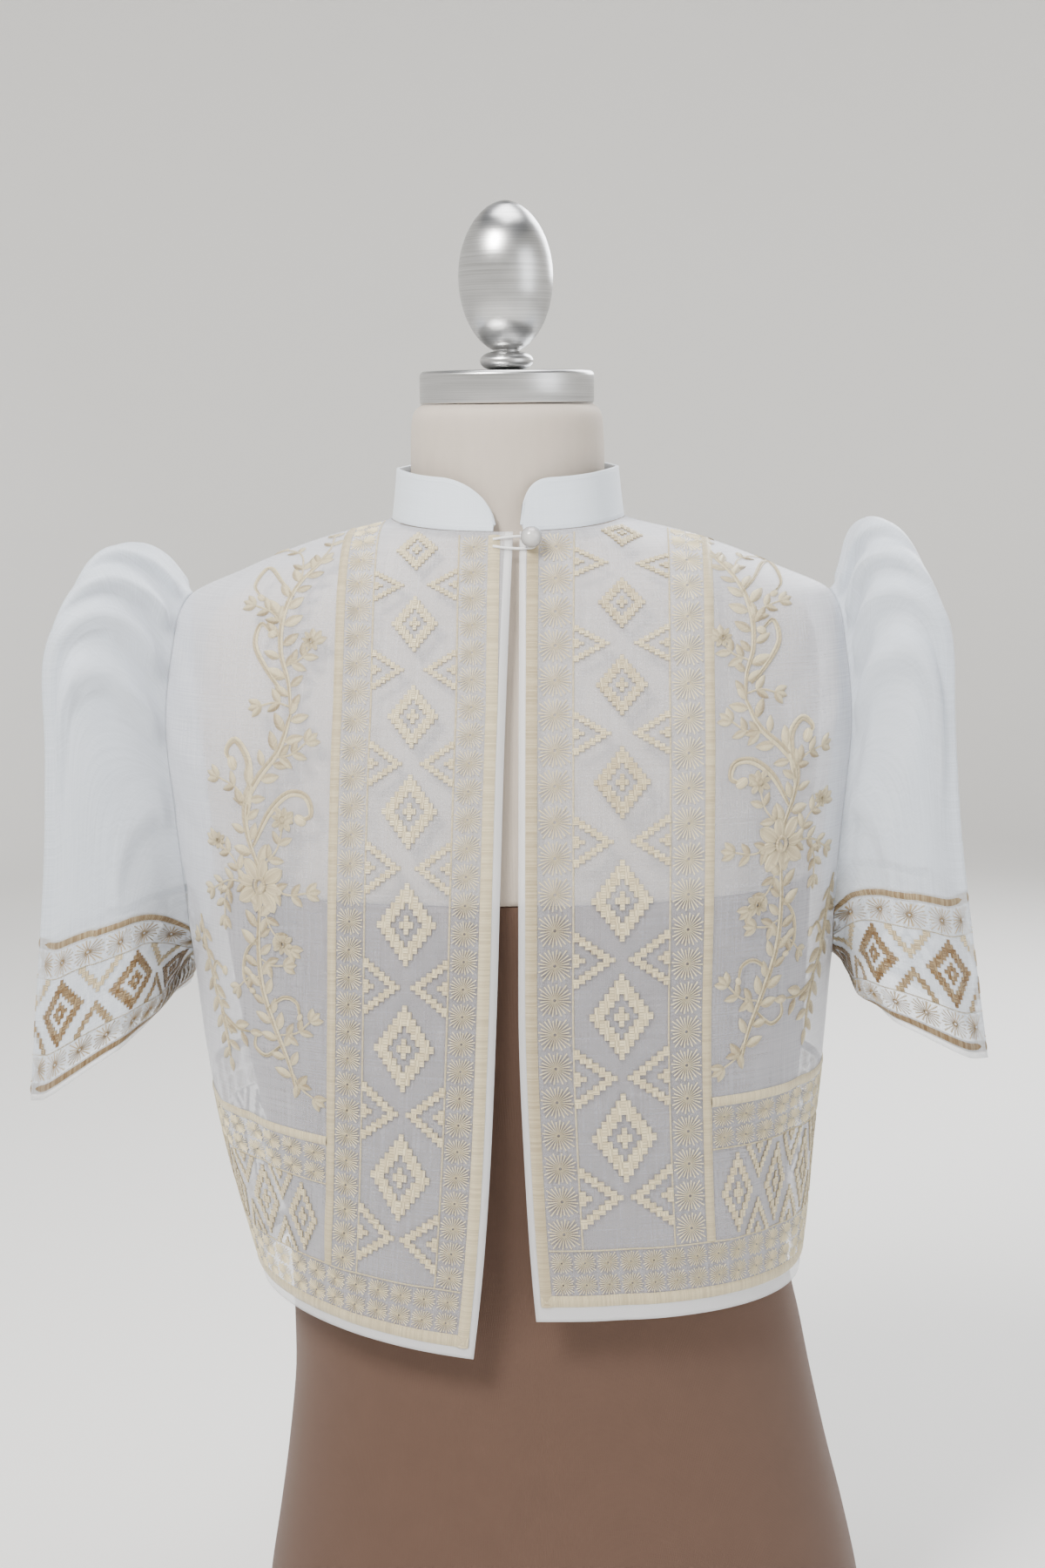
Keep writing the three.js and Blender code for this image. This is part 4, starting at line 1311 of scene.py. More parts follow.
def templates():
    """The repeated motifs, made once."""
    if not TEMPLATES:
        TEMPLATES.update(
            star=star_template("star_square", (0.05, 0.0)),
            warm_star=star_template("warm_star_square", (0.26, 0.16)),
            brown_star=star_template("brown_star_square", (0.8, 0.55), rays=20, thickness=1.7),
            diamond=stepped_template("stepped_diamond", 6, (0, 1, 4, 5, 6), PALE + 0.06),
            # Painted shade: the same diamond in a deeper tone, for the left front's upper diamonds.
            warm_diamond=stepped_template("stepped_diamond_painted_shade", 6, (0, 1, 4, 5, 6), WARM - 0.1),
            side_half=stepped_template(
                "stepped_half", 6, (0, 1, 5, 6), PALE + 0.1, half=True, cell=(2.6, 3.1)),
            narrow=stepped_template("narrow_diamond", 5, (0, 1, 4, 5), PALE + 0.14),
            brown_diamond=stepped_template("brown_diamond", 7, (1, 2, 5, 6, 7), BROWN, cell=(1.87, 2.73)),
            brown_half=stepped_template("brown_half", 5, (4, 5), BROWN - 0.1, half=True),
            warm_half=stepped_template("warm_half", 5, (4, 5), WARM, half=True),
            leaf=leaf_template("long_leaf", 12.5, 6.0, PALE),
            warm_leaf=leaf_template("long_leaf_warm", 11.5, 5.4, PALE + 0.2),
            petal=petal_template(PALE),
            eyelet=eyelet_template(WARM),
            bud=bud_template(PALE + 0.1),
        )
    return TEMPLATES


def flower(work, x, y, radius):
    """A flower of eight domed petals, long and short by turns, round a worked eyelet."""
    start = radius * 0.26
    for petal in range(8):
        angle = FULL_TURN * (petal + 0.25) / 8
        size = radius * (0.72 if petal % 2 else 0.6)
        foot = (x + start * math.cos(angle), y + start * math.sin(angle))
        work.stamp("petal", *foot, size, size * 0.72, angle)
    work.stamp("eyelet", x, y, radius * 0.24, radius * 0.32)


def heading_at(ahead, index):
    """The way a route runs at one of its places, as a turn from +X."""
    return math.atan2(ahead[index][1], ahead[index][0])


def stem(work, route, width, leaf_gap, seed):
    """A double line of stem stitch that thins to its tip. It has leaves, or ends in a round bud."""
    chance = random.Random(seed)
    route = smooth_route(route, STEM_STITCH)
    ahead = unit(np.gradient(route, axis=0))
    aside = np.stack([-ahead[:, 1], ahead[:, 0]], axis=-1)
    share = np.linspace(0, 1, len(route))
    widths = 1.3 * width * (0.4 + 0.6 * np.sin(HALF_TURN * share) ** 0.8)
    # Painted light: one of the two lines is deepened as painted shade and the other made paler as a painted
    # highlight.
    for side in (-1, 1):
        offset = aside * side * widths[:, None] * 0.27
        work.strip(route + offset, widths * 0.5, 0.7, PALE + (-0.06 if side > 0 else 0.26), lean=0.9)
    if not leaf_gap:
        work.stamp("bud", *route[-1], width * 0.95, width * 1.25, chance.uniform(0, 3))
        return
    side = 1
    distance = leaf_gap * 0.5
    length = len(route) * STEM_STITCH
    while distance < length - 3:
        index = min(len(route) - 1, int(distance / STEM_STITCH))
        name = "leaf" if chance.random() < 0.65 else "warm_leaf"
        size = chance.uniform(0.74, 1.04)
        foot = route[index] + aside[index] * side * widths[index] * 0.5
        turn = heading_at(ahead, index) + side * chance.uniform(0.6, 1.0)
        work.stamp(name, *foot, size, size, turn)
        distance += leaf_gap * chance.uniform(0.52, 0.72)
        side = -side
    work.stamp("leaf", *route[-1], 0.8, 0.8, heading_at(ahead, -1))


def sprig(work, start, end, pairs):
    """A short bowed sprig with pairs of small leaves, and three leaves at its tip."""
    start, end = np.array(start, float), np.array(end, float)
    run = end - start
    bow = np.array([-run[1], run[0]]) * 0.12
    route = smooth_route([start, (start + end) / 2 + bow, end], STEM_STITCH)
    work.strip(route, 1.1, 0.5, PALE + 0.08, lean=0.8)
    ahead = unit(np.gradient(route, axis=0))
    for pair in range(pairs):
        index = int((len(route) - 1) * (pair + 0.5) / (pairs + 0.4))
        size = 0.76 - 0.05 * pair
        for name, side in (("warm_leaf", -1), ("leaf", 1)):
            work.stamp(name, *route[index], size, size, heading_at(ahead, index) + side * 0.8)
    for turn in (-0.6, 0.0, 0.6):
        work.stamp("leaf", *route[-1], 0.68, 0.74, heading_at(ahead, -1) + turn)


def star_row(work, start, end, middle, size, star="star", upright=False):
    """A row of star squares that fills a stretch exactly."""
    count = max(1, round((end - start) / size))
    pitch = (end - start) / count
    for index in range(count):
        place = start + pitch * (index + 0.5)
        x, y = (middle, place) if upright else (place, middle)
        wide, tall = (size, pitch) if upright else (pitch, size)
        work.stamp(star, x, y, wide, tall)


def straight(start, end, spacing=3.0):
    """A straight route between two flat places."""
    start, end = np.array(start, float), np.array(end, float)
    count = max(2, int(np.linalg.norm(end - start) / spacing))
    return start + (end - start) * np.linspace(0, 1, count + 1)[:, None]


def rail(work, start, end, low, width, raised, tone, across=2):
    """A straight run of stitches of a given width, from a level up. It returns its upper level."""
    middle = low + width / 2
    work.strip(straight((start, middle), (end, middle)), width, raised, tone, across=across)
    return low + width


def hem_band(work, name, start, end, inner_start):
    """The band along the hem. Its lower rows start at start, the rest at inner_start."""
    band = HEM_BAND[name]
    satin, stars, line, field = (band[part] for part in ("satin", "stars", "line", "field"))
    level = rail(work, start, end, band["edge"], satin, SATIN_RAISED, PALE + 0.1, across=4)
    for row in range(2):
        star_row(work, start + satin, end, level + stars * (row + 0.5), stars)
    level = rail(work, start + satin, end, level + 2 * stars, line, LINE_RAISED, PALE + 0.1)
    hem_field(work, inner_start, end, level, field)
    level = rail(work, inner_start, end, level + field, line, LINE_RAISED, PALE + 0.1)
    upper_stars = stars - 0.8
    for row in range(2):
        star_row(work, inner_start, end, level + upper_stars * (row + 0.5), upper_stars)
    level += 2 * upper_stars
    rail(work, inner_start, end, level, band["upper_satin"], SATIN_RAISED, PALE + 0.06, across=4)


def hem_field(work, start, end, level, field):
    """The hem band's diamonds, with half diamonds on both lines between them."""
    count = max(1, round((end - start) / 27.0))
    pitch = (end - start) / count
    for index in range(count):
        middle = start + pitch * (index + 0.5)
        wide = pitch / SMALL_DIAMOND_SIZE[0] * 0.66
        work.stamp("narrow", middle, level + field / 2, wide, (field - 6) / SMALL_DIAMOND_SIZE[1])
        if index:
            edge = start + pitch * index
            wide = pitch / HALF_SIZE[0] * 0.60
            for foot, side in ((level + 1.4, 1), (level + field - 1.4, -1)):
                work.stamp("side_half", edge, foot, wide, side * field / HALF_SIZE[1] * 0.36)


def opening_band(work, layout):
    """The upright band beside the opening: satin, stars, a field of diamonds, stars and satin."""
    band, hem = OPENING_BAND[layout.name], HEM_BAND[layout.name]
    foot = hem["edge"] + hem["satin"] + 2 * hem["stars"]
    above_line = foot + hem["line"]
    warm = bool(band["warmth"])
    low = band["edge"]
    for part in ("satin", "stars", "line", "field", "line", "stars", "outer_satin"):
        width = band[part]
        middle = low + width / 2
        top = layout.top_at(middle)
        if part == "satin":
            route = straight((middle, hem["edge"]), (middle, top))
            work.strip(route, width, SATIN_RAISED, PALE + 0.1 + band["warmth"], across=4)
        elif part == "outer_satin":
            route = straight((middle, above_line), (middle, top))
            work.strip(route, width, SATIN_RAISED, PALE + 0.16, across=4)
        elif part == "line":
            work.strip(straight((middle, foot), (middle, top)), width, LINE_RAISED, PALE + 0.1)
        elif part == "stars":
            star_row(work, above_line, top, middle, width, "warm_star" if warm else "star", upright=True)
            warm = False
        else:
            opening_field(work, layout, low, low + width, foot + 1)
        low += width
    return low


def opening_field(work, layout, low, high, foot):
    """The diamonds of the opening band, with stepped half diamonds between them on both lines."""
    middle = (low + high) / 2
    centres = [(layout.up_at(middle, level), width, tall) for level, width, tall in DIAMONDS[layout.name]]
    top = layout.top_at(middle)
    for up, width, tall in centres:
        if up + tall * 0.4 < top:
            # The left front's upper diamonds take the deeper tone as painted shade.
            warm = layout.name == "front_left" and tall < PAINTED_SHADE_DIAMOND_HEIGHT
            motif = "warm_diamond" if warm else "diamond"
            work.stamp(motif, middle, up, width / DIAMOND_SIZE[0], tall / DIAMOND_SIZE[1])
    ups = [up for up, _, _ in centres]
    gaps = [(a + b) / 2 for a, b in zip(ups, ups[1:])]
    gaps.insert(0, ups[0] - (ups[1] - ups[0]) / 2)
    for (_, _, tall), gap in zip(centres, gaps):
        size = tall / TALLEST_DIAMOND
        reach = (0.55 + 0.45 * size) * (high - low) / FIELD_WIDTH
        for line, turn in ((low + 1.0, -QUARTER_TURN), (high - 1.0, QUARTER_TURN)):
            if foot + 15 * size < gap < layout.top_at(line) - 15 * size:
                work.stamp("side_half", line, gap, 0.98 * size, reach, turn)


def left_front_place(across, level):
    """Where a place of the right front's vine lies on the left front: further in, and higher below."""
    lower = 1 - float(smooth_step(level, 520, 640))
    return across + 3 + 8 * lower, level + 19 * lower


def work_vine(work, layout, stems, sprigs, flowers, seed, move):
    """Stems, sprigs and flowers, each at its given (across, level) after a move."""
    def flat(places):
        moved = [move(across, level) for across, level in places]
        return [(across, layout.up_at(across, level)) for across, level in moved]

    for index, (route, width, leaf_gap) in enumerate(stems):
        stem(work, flat(route), width, leaf_gap, seed + index)
    for start, tip, pairs in sprigs:
        sprig(work, *flat([start, tip]), pairs)
    for across, level, radius in flowers:
        flower(work, *flat([(across, level)])[0], radius)


def embroider_panel(layout):
    """All the embroidery on one body panel, as two pieces: the bands and the vines."""
    name = layout.name
    bands = Needlework()
    vines = Needlework()
    reaches = [reach - 1.5 for reach in layout.seam_reaches()]
    # The hem band is drawn as wide as the panel is at this row, close above its hem.
    end = reaches[20]
    inner = 0.0
    if name == "back":
        hem_band(bands, name, -end, end, -end)
        side_flowers = [row for row in BACK_FLOWERS if row[0]]
        for side, flowers in ((-1, side_flowers), (1, BACK_FLOWERS)):
            work_vine(vines, layout, BACK_STEMS, BACK_SPRIGS, flowers, 40,
                      lambda across, level, side=side: (across * side, level))
    else:
        inner = opening_band(bands, layout)
        hem_band(bands, name, OPENING_BAND[name]["edge"], end, inner)
        move = left_front_place if name == "front_left" else (lambda across, level: (across, level))
        work_vine(vines, layout, FRONT_STEMS, FRONT_SPRIGS, FRONT_FLOWERS, 20, move)

    def lay_to_seam(flat):
        """The band along the hem is let out at each height to meet the side seam."""
        level = np.interp(flat[:, 1], layout.rises, layout.levels)
        reach = np.interp(level, layout.levels, reaches)
        beyond = np.maximum(np.abs(flat[:, 0]) - inner, 0) * ((reach - inner) / (end - inner) - 1)
        let_out = flat.copy()
        let_out[:, 0] += np.sign(flat[:, 0]) * beyond
        return layout.lay(let_out)

    lifted = bands.finish(name + "_band_embroidery", lay_to_seam)
    twined = vines.finish(name + "_vine_embroidery", layout.lay)
    return [lifted, twined]


# The band round a cuff: heights in millimetres from the cuff, upwards, where the band is deepest.
SLEEVE_BAND = {"edge": 3.4, "satin": 6.2, "stars": 15.5, "line": 0.9, "field": 42}


def walk_round(layout, pitch):
    """Places round a cuff, closer together where the band is lower, each with its own pitch."""
    places = []
    distance = 0.0
    while distance < layout.girth - pitch * 0.3:
        share = float(layout.band_height(np.array([distance]))[0]) / max(BAND_HEIGHTS)
        local = pitch * (0.45 + 0.55 * share)
        places.append((distance + local / 2, local))
        distance += local
    scale = layout.girth / distance
    return [(place * scale, local * scale) for place, local in places]


def embroider_sleeve(name):
    """The band round a sleeve's cuff, drawn at its full height and then laid to its local height."""
    layout = SleeveLayout(name)
    work = Needlework()
    around = straight((0, 0), (layout.girth, 0), 1.5)

    def lay(flat):
        share = layout.band_height(np.mod(flat[:, 0], layout.girth)) / max(BAND_HEIGHTS)
        return layout.lay(np.stack([flat[:, 0], flat[:, 1] * share, flat[:, 2]], axis=-1))

    def ring(level, width, tone, across=2):
        work.strip(around + np.array([0, level + width / 2]), width, 0.7, tone, across=across)
        return level + width

    edge, satin, stars, line, field = SLEEVE_BAND.values()
    # The band's brown tones are partly the thread's own brown gold and partly painted shade for the darker
    # look of the thread on the sleeves.
    lower_stars = ring(edge, satin, BROWN, across=4)
    field_low = ring(lower_stars + stars, line, WARM)
    field_high = field_low + field
    upper_stars = ring(field_high, line, WARM)
    ring(upper_stars + stars, satin, BROWN - 0.1, across=4)
    for place, pitch in walk_round(layout, 15.0):
        work.stamp("brown_star", place, lower_stars + stars / 2, pitch, stars)
        work.stamp("brown_star", place, upper_stars + stars / 2, pitch, stars)
    for place, pitch in walk_round(layout, 38.0):
        wide = pitch / SMALL_DIAMOND_SIZE[0]
        tall = (field - 3) / SMALL_DIAMOND_SIZE[1]
        work.stamp("brown_diamond", place, field_low + field / 2, wide * 0.70, tall)
        reach = wide * 0.50
        work.stamp("brown_half", place + pitch / 2, field_low + 1.5, reach, 0.82)
        work.stamp("warm_half", place + pitch / 2, field_high - 1.5, reach, -0.82)
    return work.finish(name + "_band_embroidery", lay)


# ---- finishes


def opaque(colour):
    """A colour of three channels with its full fourth."""
    return tuple(colour) + (1,)


def darker(colour, share):
    """A colour with its channels brought down to a share."""
    return opaque(channel * share for channel in colour)


class Recipe:
    """Shorthand for building a node tree."""

    def __init__(self, tree):
        self.tree = tree

    def feed(self, socket, value):
        """Links a socket to another, or gives it a plain value."""
        if isinstance(value, bpy.types.NodeSocket):
            self.tree.links.new(value, socket)
        else:
            socket.default_value = value

    def set(self, node, **values):
        """Feeds a node's inputs by name, with underscores for spaces, or by place as i0, i1 and so on."""
        for name, value in values.items():
            by_place = name[0] == "i" and name[1:].isdigit()
            self.feed(node.inputs[int(name[1:]) if by_place else name.replace("_", " ")], value)

    def add(self, kind, operation=None, **values):
        node = self.tree.nodes.new(kind)
        if operation:
            node.operation = operation
        self.set(node, **values)
        return node

    def add_group(self, group, **values):
        node = self.tree.nodes.new("ShaderNodeGroup")
        node.node_tree = group
        self.set(node, **values)
        return node

    def math(self, operation, first, second=0.0, clamp=False):
        node = self.add("ShaderNodeMath", operation, i0=first, i1=second)
        node.use_clamp = clamp
        return node.outputs[0]

    def waves(self, value, pitch):
        """A sine wave along a value, with one crest for each pitch."""
        return self.math("SINE", self.math("MULTIPLY", value, FULL_TURN / pitch))

    def mix(self, share, first, second):
        node = self.tree.nodes.new("ShaderNodeMix")
        node.data_type = "RGBA"
        self.set(node, i0=share, i6=first, i7=second)
        return node.outputs[2]

    def spread(self, value, from_low, from_high, to_low, to_high):
        node = self.add("ShaderNodeMapRange", i0=value, i1=from_low, i2=from_high, i3=to_low, i4=to_high)
        return node.outputs[0]

    def map_of(self, name):
        """A UV map's vector, and its two numbers apart."""
        source = self.tree.nodes.new("ShaderNodeUVMap")
        source.uv_map = name
        parts = self.add("ShaderNodeSeparateXYZ", Vector=source.outputs[0])
        return source.outputs[0], parts.outputs[0], parts.outputs[1]

    def emboss(self, shader, strength, distance, height):
        """Raises a finish by a height."""
        bump = self.add("ShaderNodeBump", Strength=strength, Distance=distance, Height=height)
        self.set(shader, Normal=bump.outputs[0])


def new_group(name, inputs, outputs):
    """An empty node group with its sockets, given as (name, kind, default)."""
    group = bpy.data.node_groups.new(name, "ShaderNodeTree")
    for label, kind, default in inputs:
        socket = group.interface.new_socket(label, in_out="INPUT", socket_type=kind)
        if default is not None:
            socket.default_value = default
    for label, kind in outputs:
        group.interface.new_socket(label, in_out="OUTPUT", socket_type=kind)
    entry = group.nodes.new("NodeGroupInput")
    leave = group.nodes.new("NodeGroupOutput")
    return group, Recipe(group), entry.outputs, leave.inputs


def woven_group():
    """Plain weave: the height of crossing threads, and a mask of their uneven thickness."""
    made = bpy.data.node_groups.get("plain_weave")
    if made:
        return made
    group, recipe, given, result = new_group(
        "plain_weave",
        [("Lay out", "NodeSocketVector", None), ("Threads per mm", "NodeSocketFloat", 2.2)],
        [("Height", "NodeSocketFloat"), ("Slub", "NodeSocketFloat")],
    )
    parts = recipe.add("ShaderNodeSeparateXYZ", Vector=given[0])
    turns = recipe.math("MULTIPLY", given[1], FULL_TURN)
    threads = []
    slubs = []
    for axis, stretch in enumerate(((0.02, 1.3, 1), (1.3, 0.02, 1))):
        threads.append(recipe.math("SINE", recipe.math("MULTIPLY", parts.outputs[axis], turns)))
        drawn = recipe.add("ShaderNodeVectorMath", "MULTIPLY", i0=given[0], i1=stretch)
        noise = recipe.add("ShaderNodeTexNoise", Vector=drawn.outputs[0], Scale=1.0, Detail=2.0)
        slubs.append(noise.outputs[0])
    recipe.feed(result[0], recipe.math("MULTIPLY", *threads))
    recipe.feed(result[1], recipe.math("MULTIPLY", recipe.math("ADD", *slubs), 0.5))
    return group


def stitch_group():
    """Embroidery thread: rows of thread side by side, with each row's own small tint."""
    group, recipe, given, result = new_group(
        "laid_stitches",
        [("Stitch place", "NodeSocketVector", None), ("Threads per mm", "NodeSocketFloat", 1.6)],
        [("Height", "NodeSocketFloat"), ("Tint", "NodeSocketFloat")],
    )
    parts = recipe.add("ShaderNodeSeparateXYZ", Vector=given[0])
    place = recipe.math("MULTIPLY", parts.outputs[0], given[1])
    ridge = recipe.math("ABSOLUTE", recipe.math("SINE", recipe.math("MULTIPLY", place, HALF_TURN)))
    noise = recipe.tree.nodes.new("ShaderNodeTexWhiteNoise")
    noise.noise_dimensions = "1D"
    recipe.set(noise, W=recipe.math("FLOOR", place))
    recipe.feed(result[0], ridge)
    recipe.feed(result[1], noise.outputs[0])
    return group


def new_material(name):
    material = bpy.data.materials.new(name)
    material.use_nodes = True
    tree = material.node_tree
    shader = next(node for node in tree.nodes if node.type == "BSDF_PRINCIPLED")
    return material, Recipe(tree), shader


def sheer_material(name, tint, opacity, edges):
    """Crisp sheer cloth. edges are the widths of its turned white edges: along the opening, and the hem."""
    material, recipe, shader = new_material(name)
    place, across, up = recipe.map_of("lay_out")
    woven = recipe.add_group(woven_group(), Lay_out=place, Threads_per_mm=2.0)
    folded = 0.0
    for distance, width in zip((across, up), edges):
        if width:
            turned = recipe.spread(distance, width, width + 0.5, 1.0, 0.0)
            folded = recipe.math("MAXIMUM", folded, turned)
    slub = recipe.spread(woven.outputs[1], 0.35, 0.65, -0.05, 0.05)
    facing = recipe.add("ShaderNodeLayerWeight", Blend=0.28)
    grazing = recipe.math("MULTIPLY", facing.outputs["Facing"], 0.30)
    single = recipe.math("ADD", recipe.math("ADD", slub, opacity), grazing)
    doubled = recipe.math("MULTIPLY", folded, 0.5)
    recipe.set(
        shader,
        Base_Color=recipe.mix(folded, opaque(tint), (0.93, 0.94, 0.96, 1)),
        Alpha=recipe.math("MAXIMUM", single, doubled),
        Roughness=0.42,
        Sheen_Weight=0.25,
        Sheen_Roughness=0.3,
        Specular_IOR_Level=0.5,
    )
    recipe.emboss(shader, 0.25, 0.0002, woven.outputs[0])
    return material


def collar_material(settings):
    """Closely woven collar cloth with a line of stitching near its edges."""
    material, recipe, shader = new_material("collar_white")
    place, along, from_edge = recipe.map_of("lay_out")
    woven = recipe.add_group(woven_group(), Lay_out=place, Threads_per_mm=2.4)
    from_line = recipe.math("ABSOLUTE", recipe.math("SUBTRACT", from_edge, 2.2))
    on_line = recipe.spread(from_line, 0.22, 0.4, 1.0, 0.0)
    dashed = recipe.spread(recipe.waves(along, 2.4), -0.7, -0.4, 0.0, 1.0)
    stitch = recipe.math("MULTIPLY", on_line, dashed)
    slub = recipe.spread(woven.outputs[1], 0.3, 0.7, 0.0, 1.0)
    colour = recipe.mix(slub, darker(settings.collar_colour, 0.93), opaque(settings.collar_colour))
    recipe.set(shader, Base_Color=colour, Roughness=0.5, Sheen_Weight=0.3)
    height = recipe.math("ADD", recipe.math("MULTIPLY", woven.outputs[0], 0.25), stitch)
    recipe.emboss(shader, 0.35, 0.0003, height)
    return material


def knit_material(name, tint):
    """A stretched knit cover: fine upright ribs and a soft mottled tone."""
    material, recipe, shader = new_material(name)
    place, around, up = recipe.map_of("lay_out")
    rib_pitch, loop_pitch = 0.9, 0.7
    loops = recipe.math("MULTIPLY", recipe.waves(up, loop_pitch), 0.5)
    mottle = recipe.add("ShaderNodeTexNoise", Vector=place, Scale=0.05, Detail=4.0)
    colour = recipe.mix(mottle.outputs[0], darker(tint, 0.9), opaque(tint))
    recipe.set(shader, Base_Color=colour, Roughness=0.82, Sheen_Weight=0.15)
    recipe.emboss(shader, 0.2, 0.0003, recipe.math("ADD", recipe.waves(around, rib_pitch), loops))
    return material


def thread_material(settings):
    """Embroidery floss. The second number of the stitch map picks from pale gold to brown gold, and the
    grooves between stitch rows are darkened with painted shade.
    """
    material, recipe, shader = new_material("embroidery_floss")
    place, _, stitch_tone = recipe.map_of("stitch")
    rows = recipe.add_group(stitch_group(), Stitch_place=place, Threads_per_mm=1.7)
    tone = recipe.math("ADD", stitch_tone, recipe.spread(rows.outputs[1], 0, 1, -0.13, 0.13), clamp=True)
    # Painted shade: the thread colour drops to half its brightness in the grooves between the rows of
    # stitches.
    groove_painted_shade = recipe.tree.nodes.new("ShaderNodeVectorMath")
    groove_painted_shade.operation = "SCALE"
    colour = recipe.mix(tone, opaque(settings.pale_thread), opaque(settings.deep_thread))
    recipe.set(groove_painted_shade, i0=colour, Scale=recipe.spread(rows.outputs[0], 0.0, 0.5, 0.5, 1.0))
    recipe.set(shader, Base_Color=groove_painted_shade.outputs[0], Roughness=0.42)
    recipe.set(shader, Sheen_Weight=0.2, Specular_IOR_Level=0.55)
    recipe.emboss(shader, 0.6, 0.0004, rows.outputs[0])
    return material


def metal_material():
    """Brushed metal, turned, with fine marks round it."""
    material, recipe, shader = new_material("brushed_metal_turned")
    source = recipe.add("ShaderNodeTexCoord")
    drawn = recipe.add("ShaderNodeVectorMath", "MULTIPLY", i0=source.outputs["Object"], i1=(14, 14, 1500))
    marks = recipe.add("ShaderNodeTexNoise", Vector=drawn.outputs[0], Scale=1.0, Detail=3.0)
    share = recipe.spread(marks.outputs[0], 0.3, 0.7, 0, 1)
    colour = recipe.mix(share, (0.50, 0.50, 0.50, 1), (0.66, 0.66, 0.66, 1))
    recipe.set(shader, Base_Color=colour, Metallic=1.0, Roughness=0.3, Anisotropic=0.65)
    recipe.emboss(shader, 0.12, 0.0002, marks.outputs[0])
    return material


def pearl_material():
    """A pearl: a warm body under a clear coat, with painted shade that greys it towards its rim, where its
    surface turns away from the camera.
    """
    material, recipe, shader = new_material("pearl_lustre")
    # Painted shade: the colour darkens towards the rim by how far the surface faces away from the camera.
    rim = recipe.add("ShaderNodeLayerWeight", Blend=0.5)
    colour = recipe.mix(rim.outputs["Facing"], (0.66, 0.65, 0.64, 1), (0.20, 0.20, 0.22, 1))
    recipe.set(shader, Base_Color=colour, Roughness=0.22, Specular_IOR_Level=0.6)
    recipe.set(shader, Coat_Weight=0.6, Coat_Roughness=0.08)
    return material


def cord_material():
    """White loop thread with a fine twist."""
    material, recipe, shader = new_material("loop_thread_white")
    source = recipe.add("ShaderNodeTexCoord")
    twist = recipe.add("ShaderNodeTexNoise", Vector=source.outputs["Object"], Scale=900.0, Detail=1.0)
    recipe.set(shader, Base_Color=(0.86, 0.86, 0.87, 1), Roughness=0.6, Sheen_Weight=0.3)
    recipe.emboss(shader, 0.3, 0.0003, twist.outputs[0])
    return material


def body_finish(name, cloth):
    """A body panel's organza, with that panel's own turned edges."""
    opening = OPENING_BAND[name]["edge"] if name in OPENING_BAND else 0
    edges = (opening, HEM_BAND[name]["edge"])
    return sheer_material(name + "_organza", cloth.body_colour, cloth.body_opacity, edges)


def sleeve_finish(cloth):
    """The sleeves' crisp organza, with the cuff's turned edge."""
    edges = (0, SLEEVE_BAND["edge"])
    return sheer_material("sleeve_organza_crisp", cloth.sleeve_colour, cloth.sleeve_opacity, edges)


def floss():
    """The embroidery's one finish, made when it is first needed."""
    made = bpy.data.materials.get("embroidery_floss")
    return made or thread_material(bpy.context.scene.bolero_embroidery)


# ---- studio

EYE_DISTANCE = 1296
EYE_AZIMUTH = math.radians(3)
EYE_HEIGHT = 750
EYE_PITCH = math.radians(9)
EYE_ROLL = math.radians(0.6)
SENSOR_WIDTH = 36
LENS = 54
# How far the form's axis falls to the left of the sensor's middle.
AXIS_OFFSET = 0.26


def make_camera():
    """The camera: its eye, its level turn, then its pitch down and its slight roll."""
    bearing = EYE_AZIMUTH - math.atan(AXIS_OFFSET / LENS)
    upright = Vector((0, 0, 1))
    level = Vector((-math.sin(bearing), math.cos(bearing), 0))
    right = level.cross(upright)
    ahead = level * math.cos(EYE_PITCH) - upright * math.sin(EYE_PITCH)
    up = upright * math.cos(EYE_PITCH) + level * math.sin(EYE_PITCH)
    rolled_right = right * math.cos(EYE_ROLL) - up * math.sin(EYE_ROLL)
    rolled_up = up * math.cos(EYE_ROLL) + right * math.sin(EYE_ROLL)
    place = Vector((math.sin(EYE_AZIMUTH), -math.cos(EYE_AZIMUTH), 0)) * EYE_DISTANCE
    place.z = EYE_HEIGHT
    lens = bpy.data.cameras.new("studio_camera")
    lens.sensor_width = SENSOR_WIDTH
    lens.sensor_fit = "AUTO"
    lens.lens = LENS
    camera = bpy.data.objects.new("studio_camera", lens)
    bpy.context.scene.collection.objects.link(camera)
    axes = Matrix((rolled_right, rolled_up, -ahead)).transposed().to_4x4()
    camera.matrix_world = Matrix.Translation(place * MM) @ axes
    bpy.context.scene.camera = camera


def make_backdrop(settings):
    """A round pale floor that curves up into a wall all round."""
    floor_radius, bend, wall_height = 2600, 600, 3600
    profile = [(0, 0), (floor_radius, 0)]
    for step in range(1, 13):
        angle = QUARTER_TURN * step / 12
        profile.append((floor_radius + bend * math.sin(angle), bend * (1 - math.cos(angle))))
    profile.append((floor_radius + bend, wall_height))
    backdrop = spun_profile("studio_backdrop", profile, 96)
    material, recipe, shader = new_material("backdrop_paint")
    recipe.set(shader, Base_Color=opaque(settings.backdrop_colour), Roughness=0.9, Specular_IOR_Level=0.1)
    backdrop.data.materials.append(material)


# Name, place and size in metres, share of the key light's power, and tint.
LIGHTS = [
    ("key_light", (-0.9, -1.5, 2.3), (0.7, 0.7), 1.0, (1.0, 0.985, 0.96)),
    ("fill_light", (1.9, -1.2, 1.1), (1.2, 1.6), 0.2, (0.93, 0.96, 1.0)),
    ("top_light", (0.1, 0.1, 2.4), (1.2, 1.2), 0.4, (1.0, 1.0, 1.0)),
    ("rim_light", (0.9, 1.7, 1.5), (0.9, 1.3), 0.5, (0.95, 0.97, 1.0)),
]
# The place all lights face, in metres.
LIT_PLACE = Vector((0, 0, 0.5))


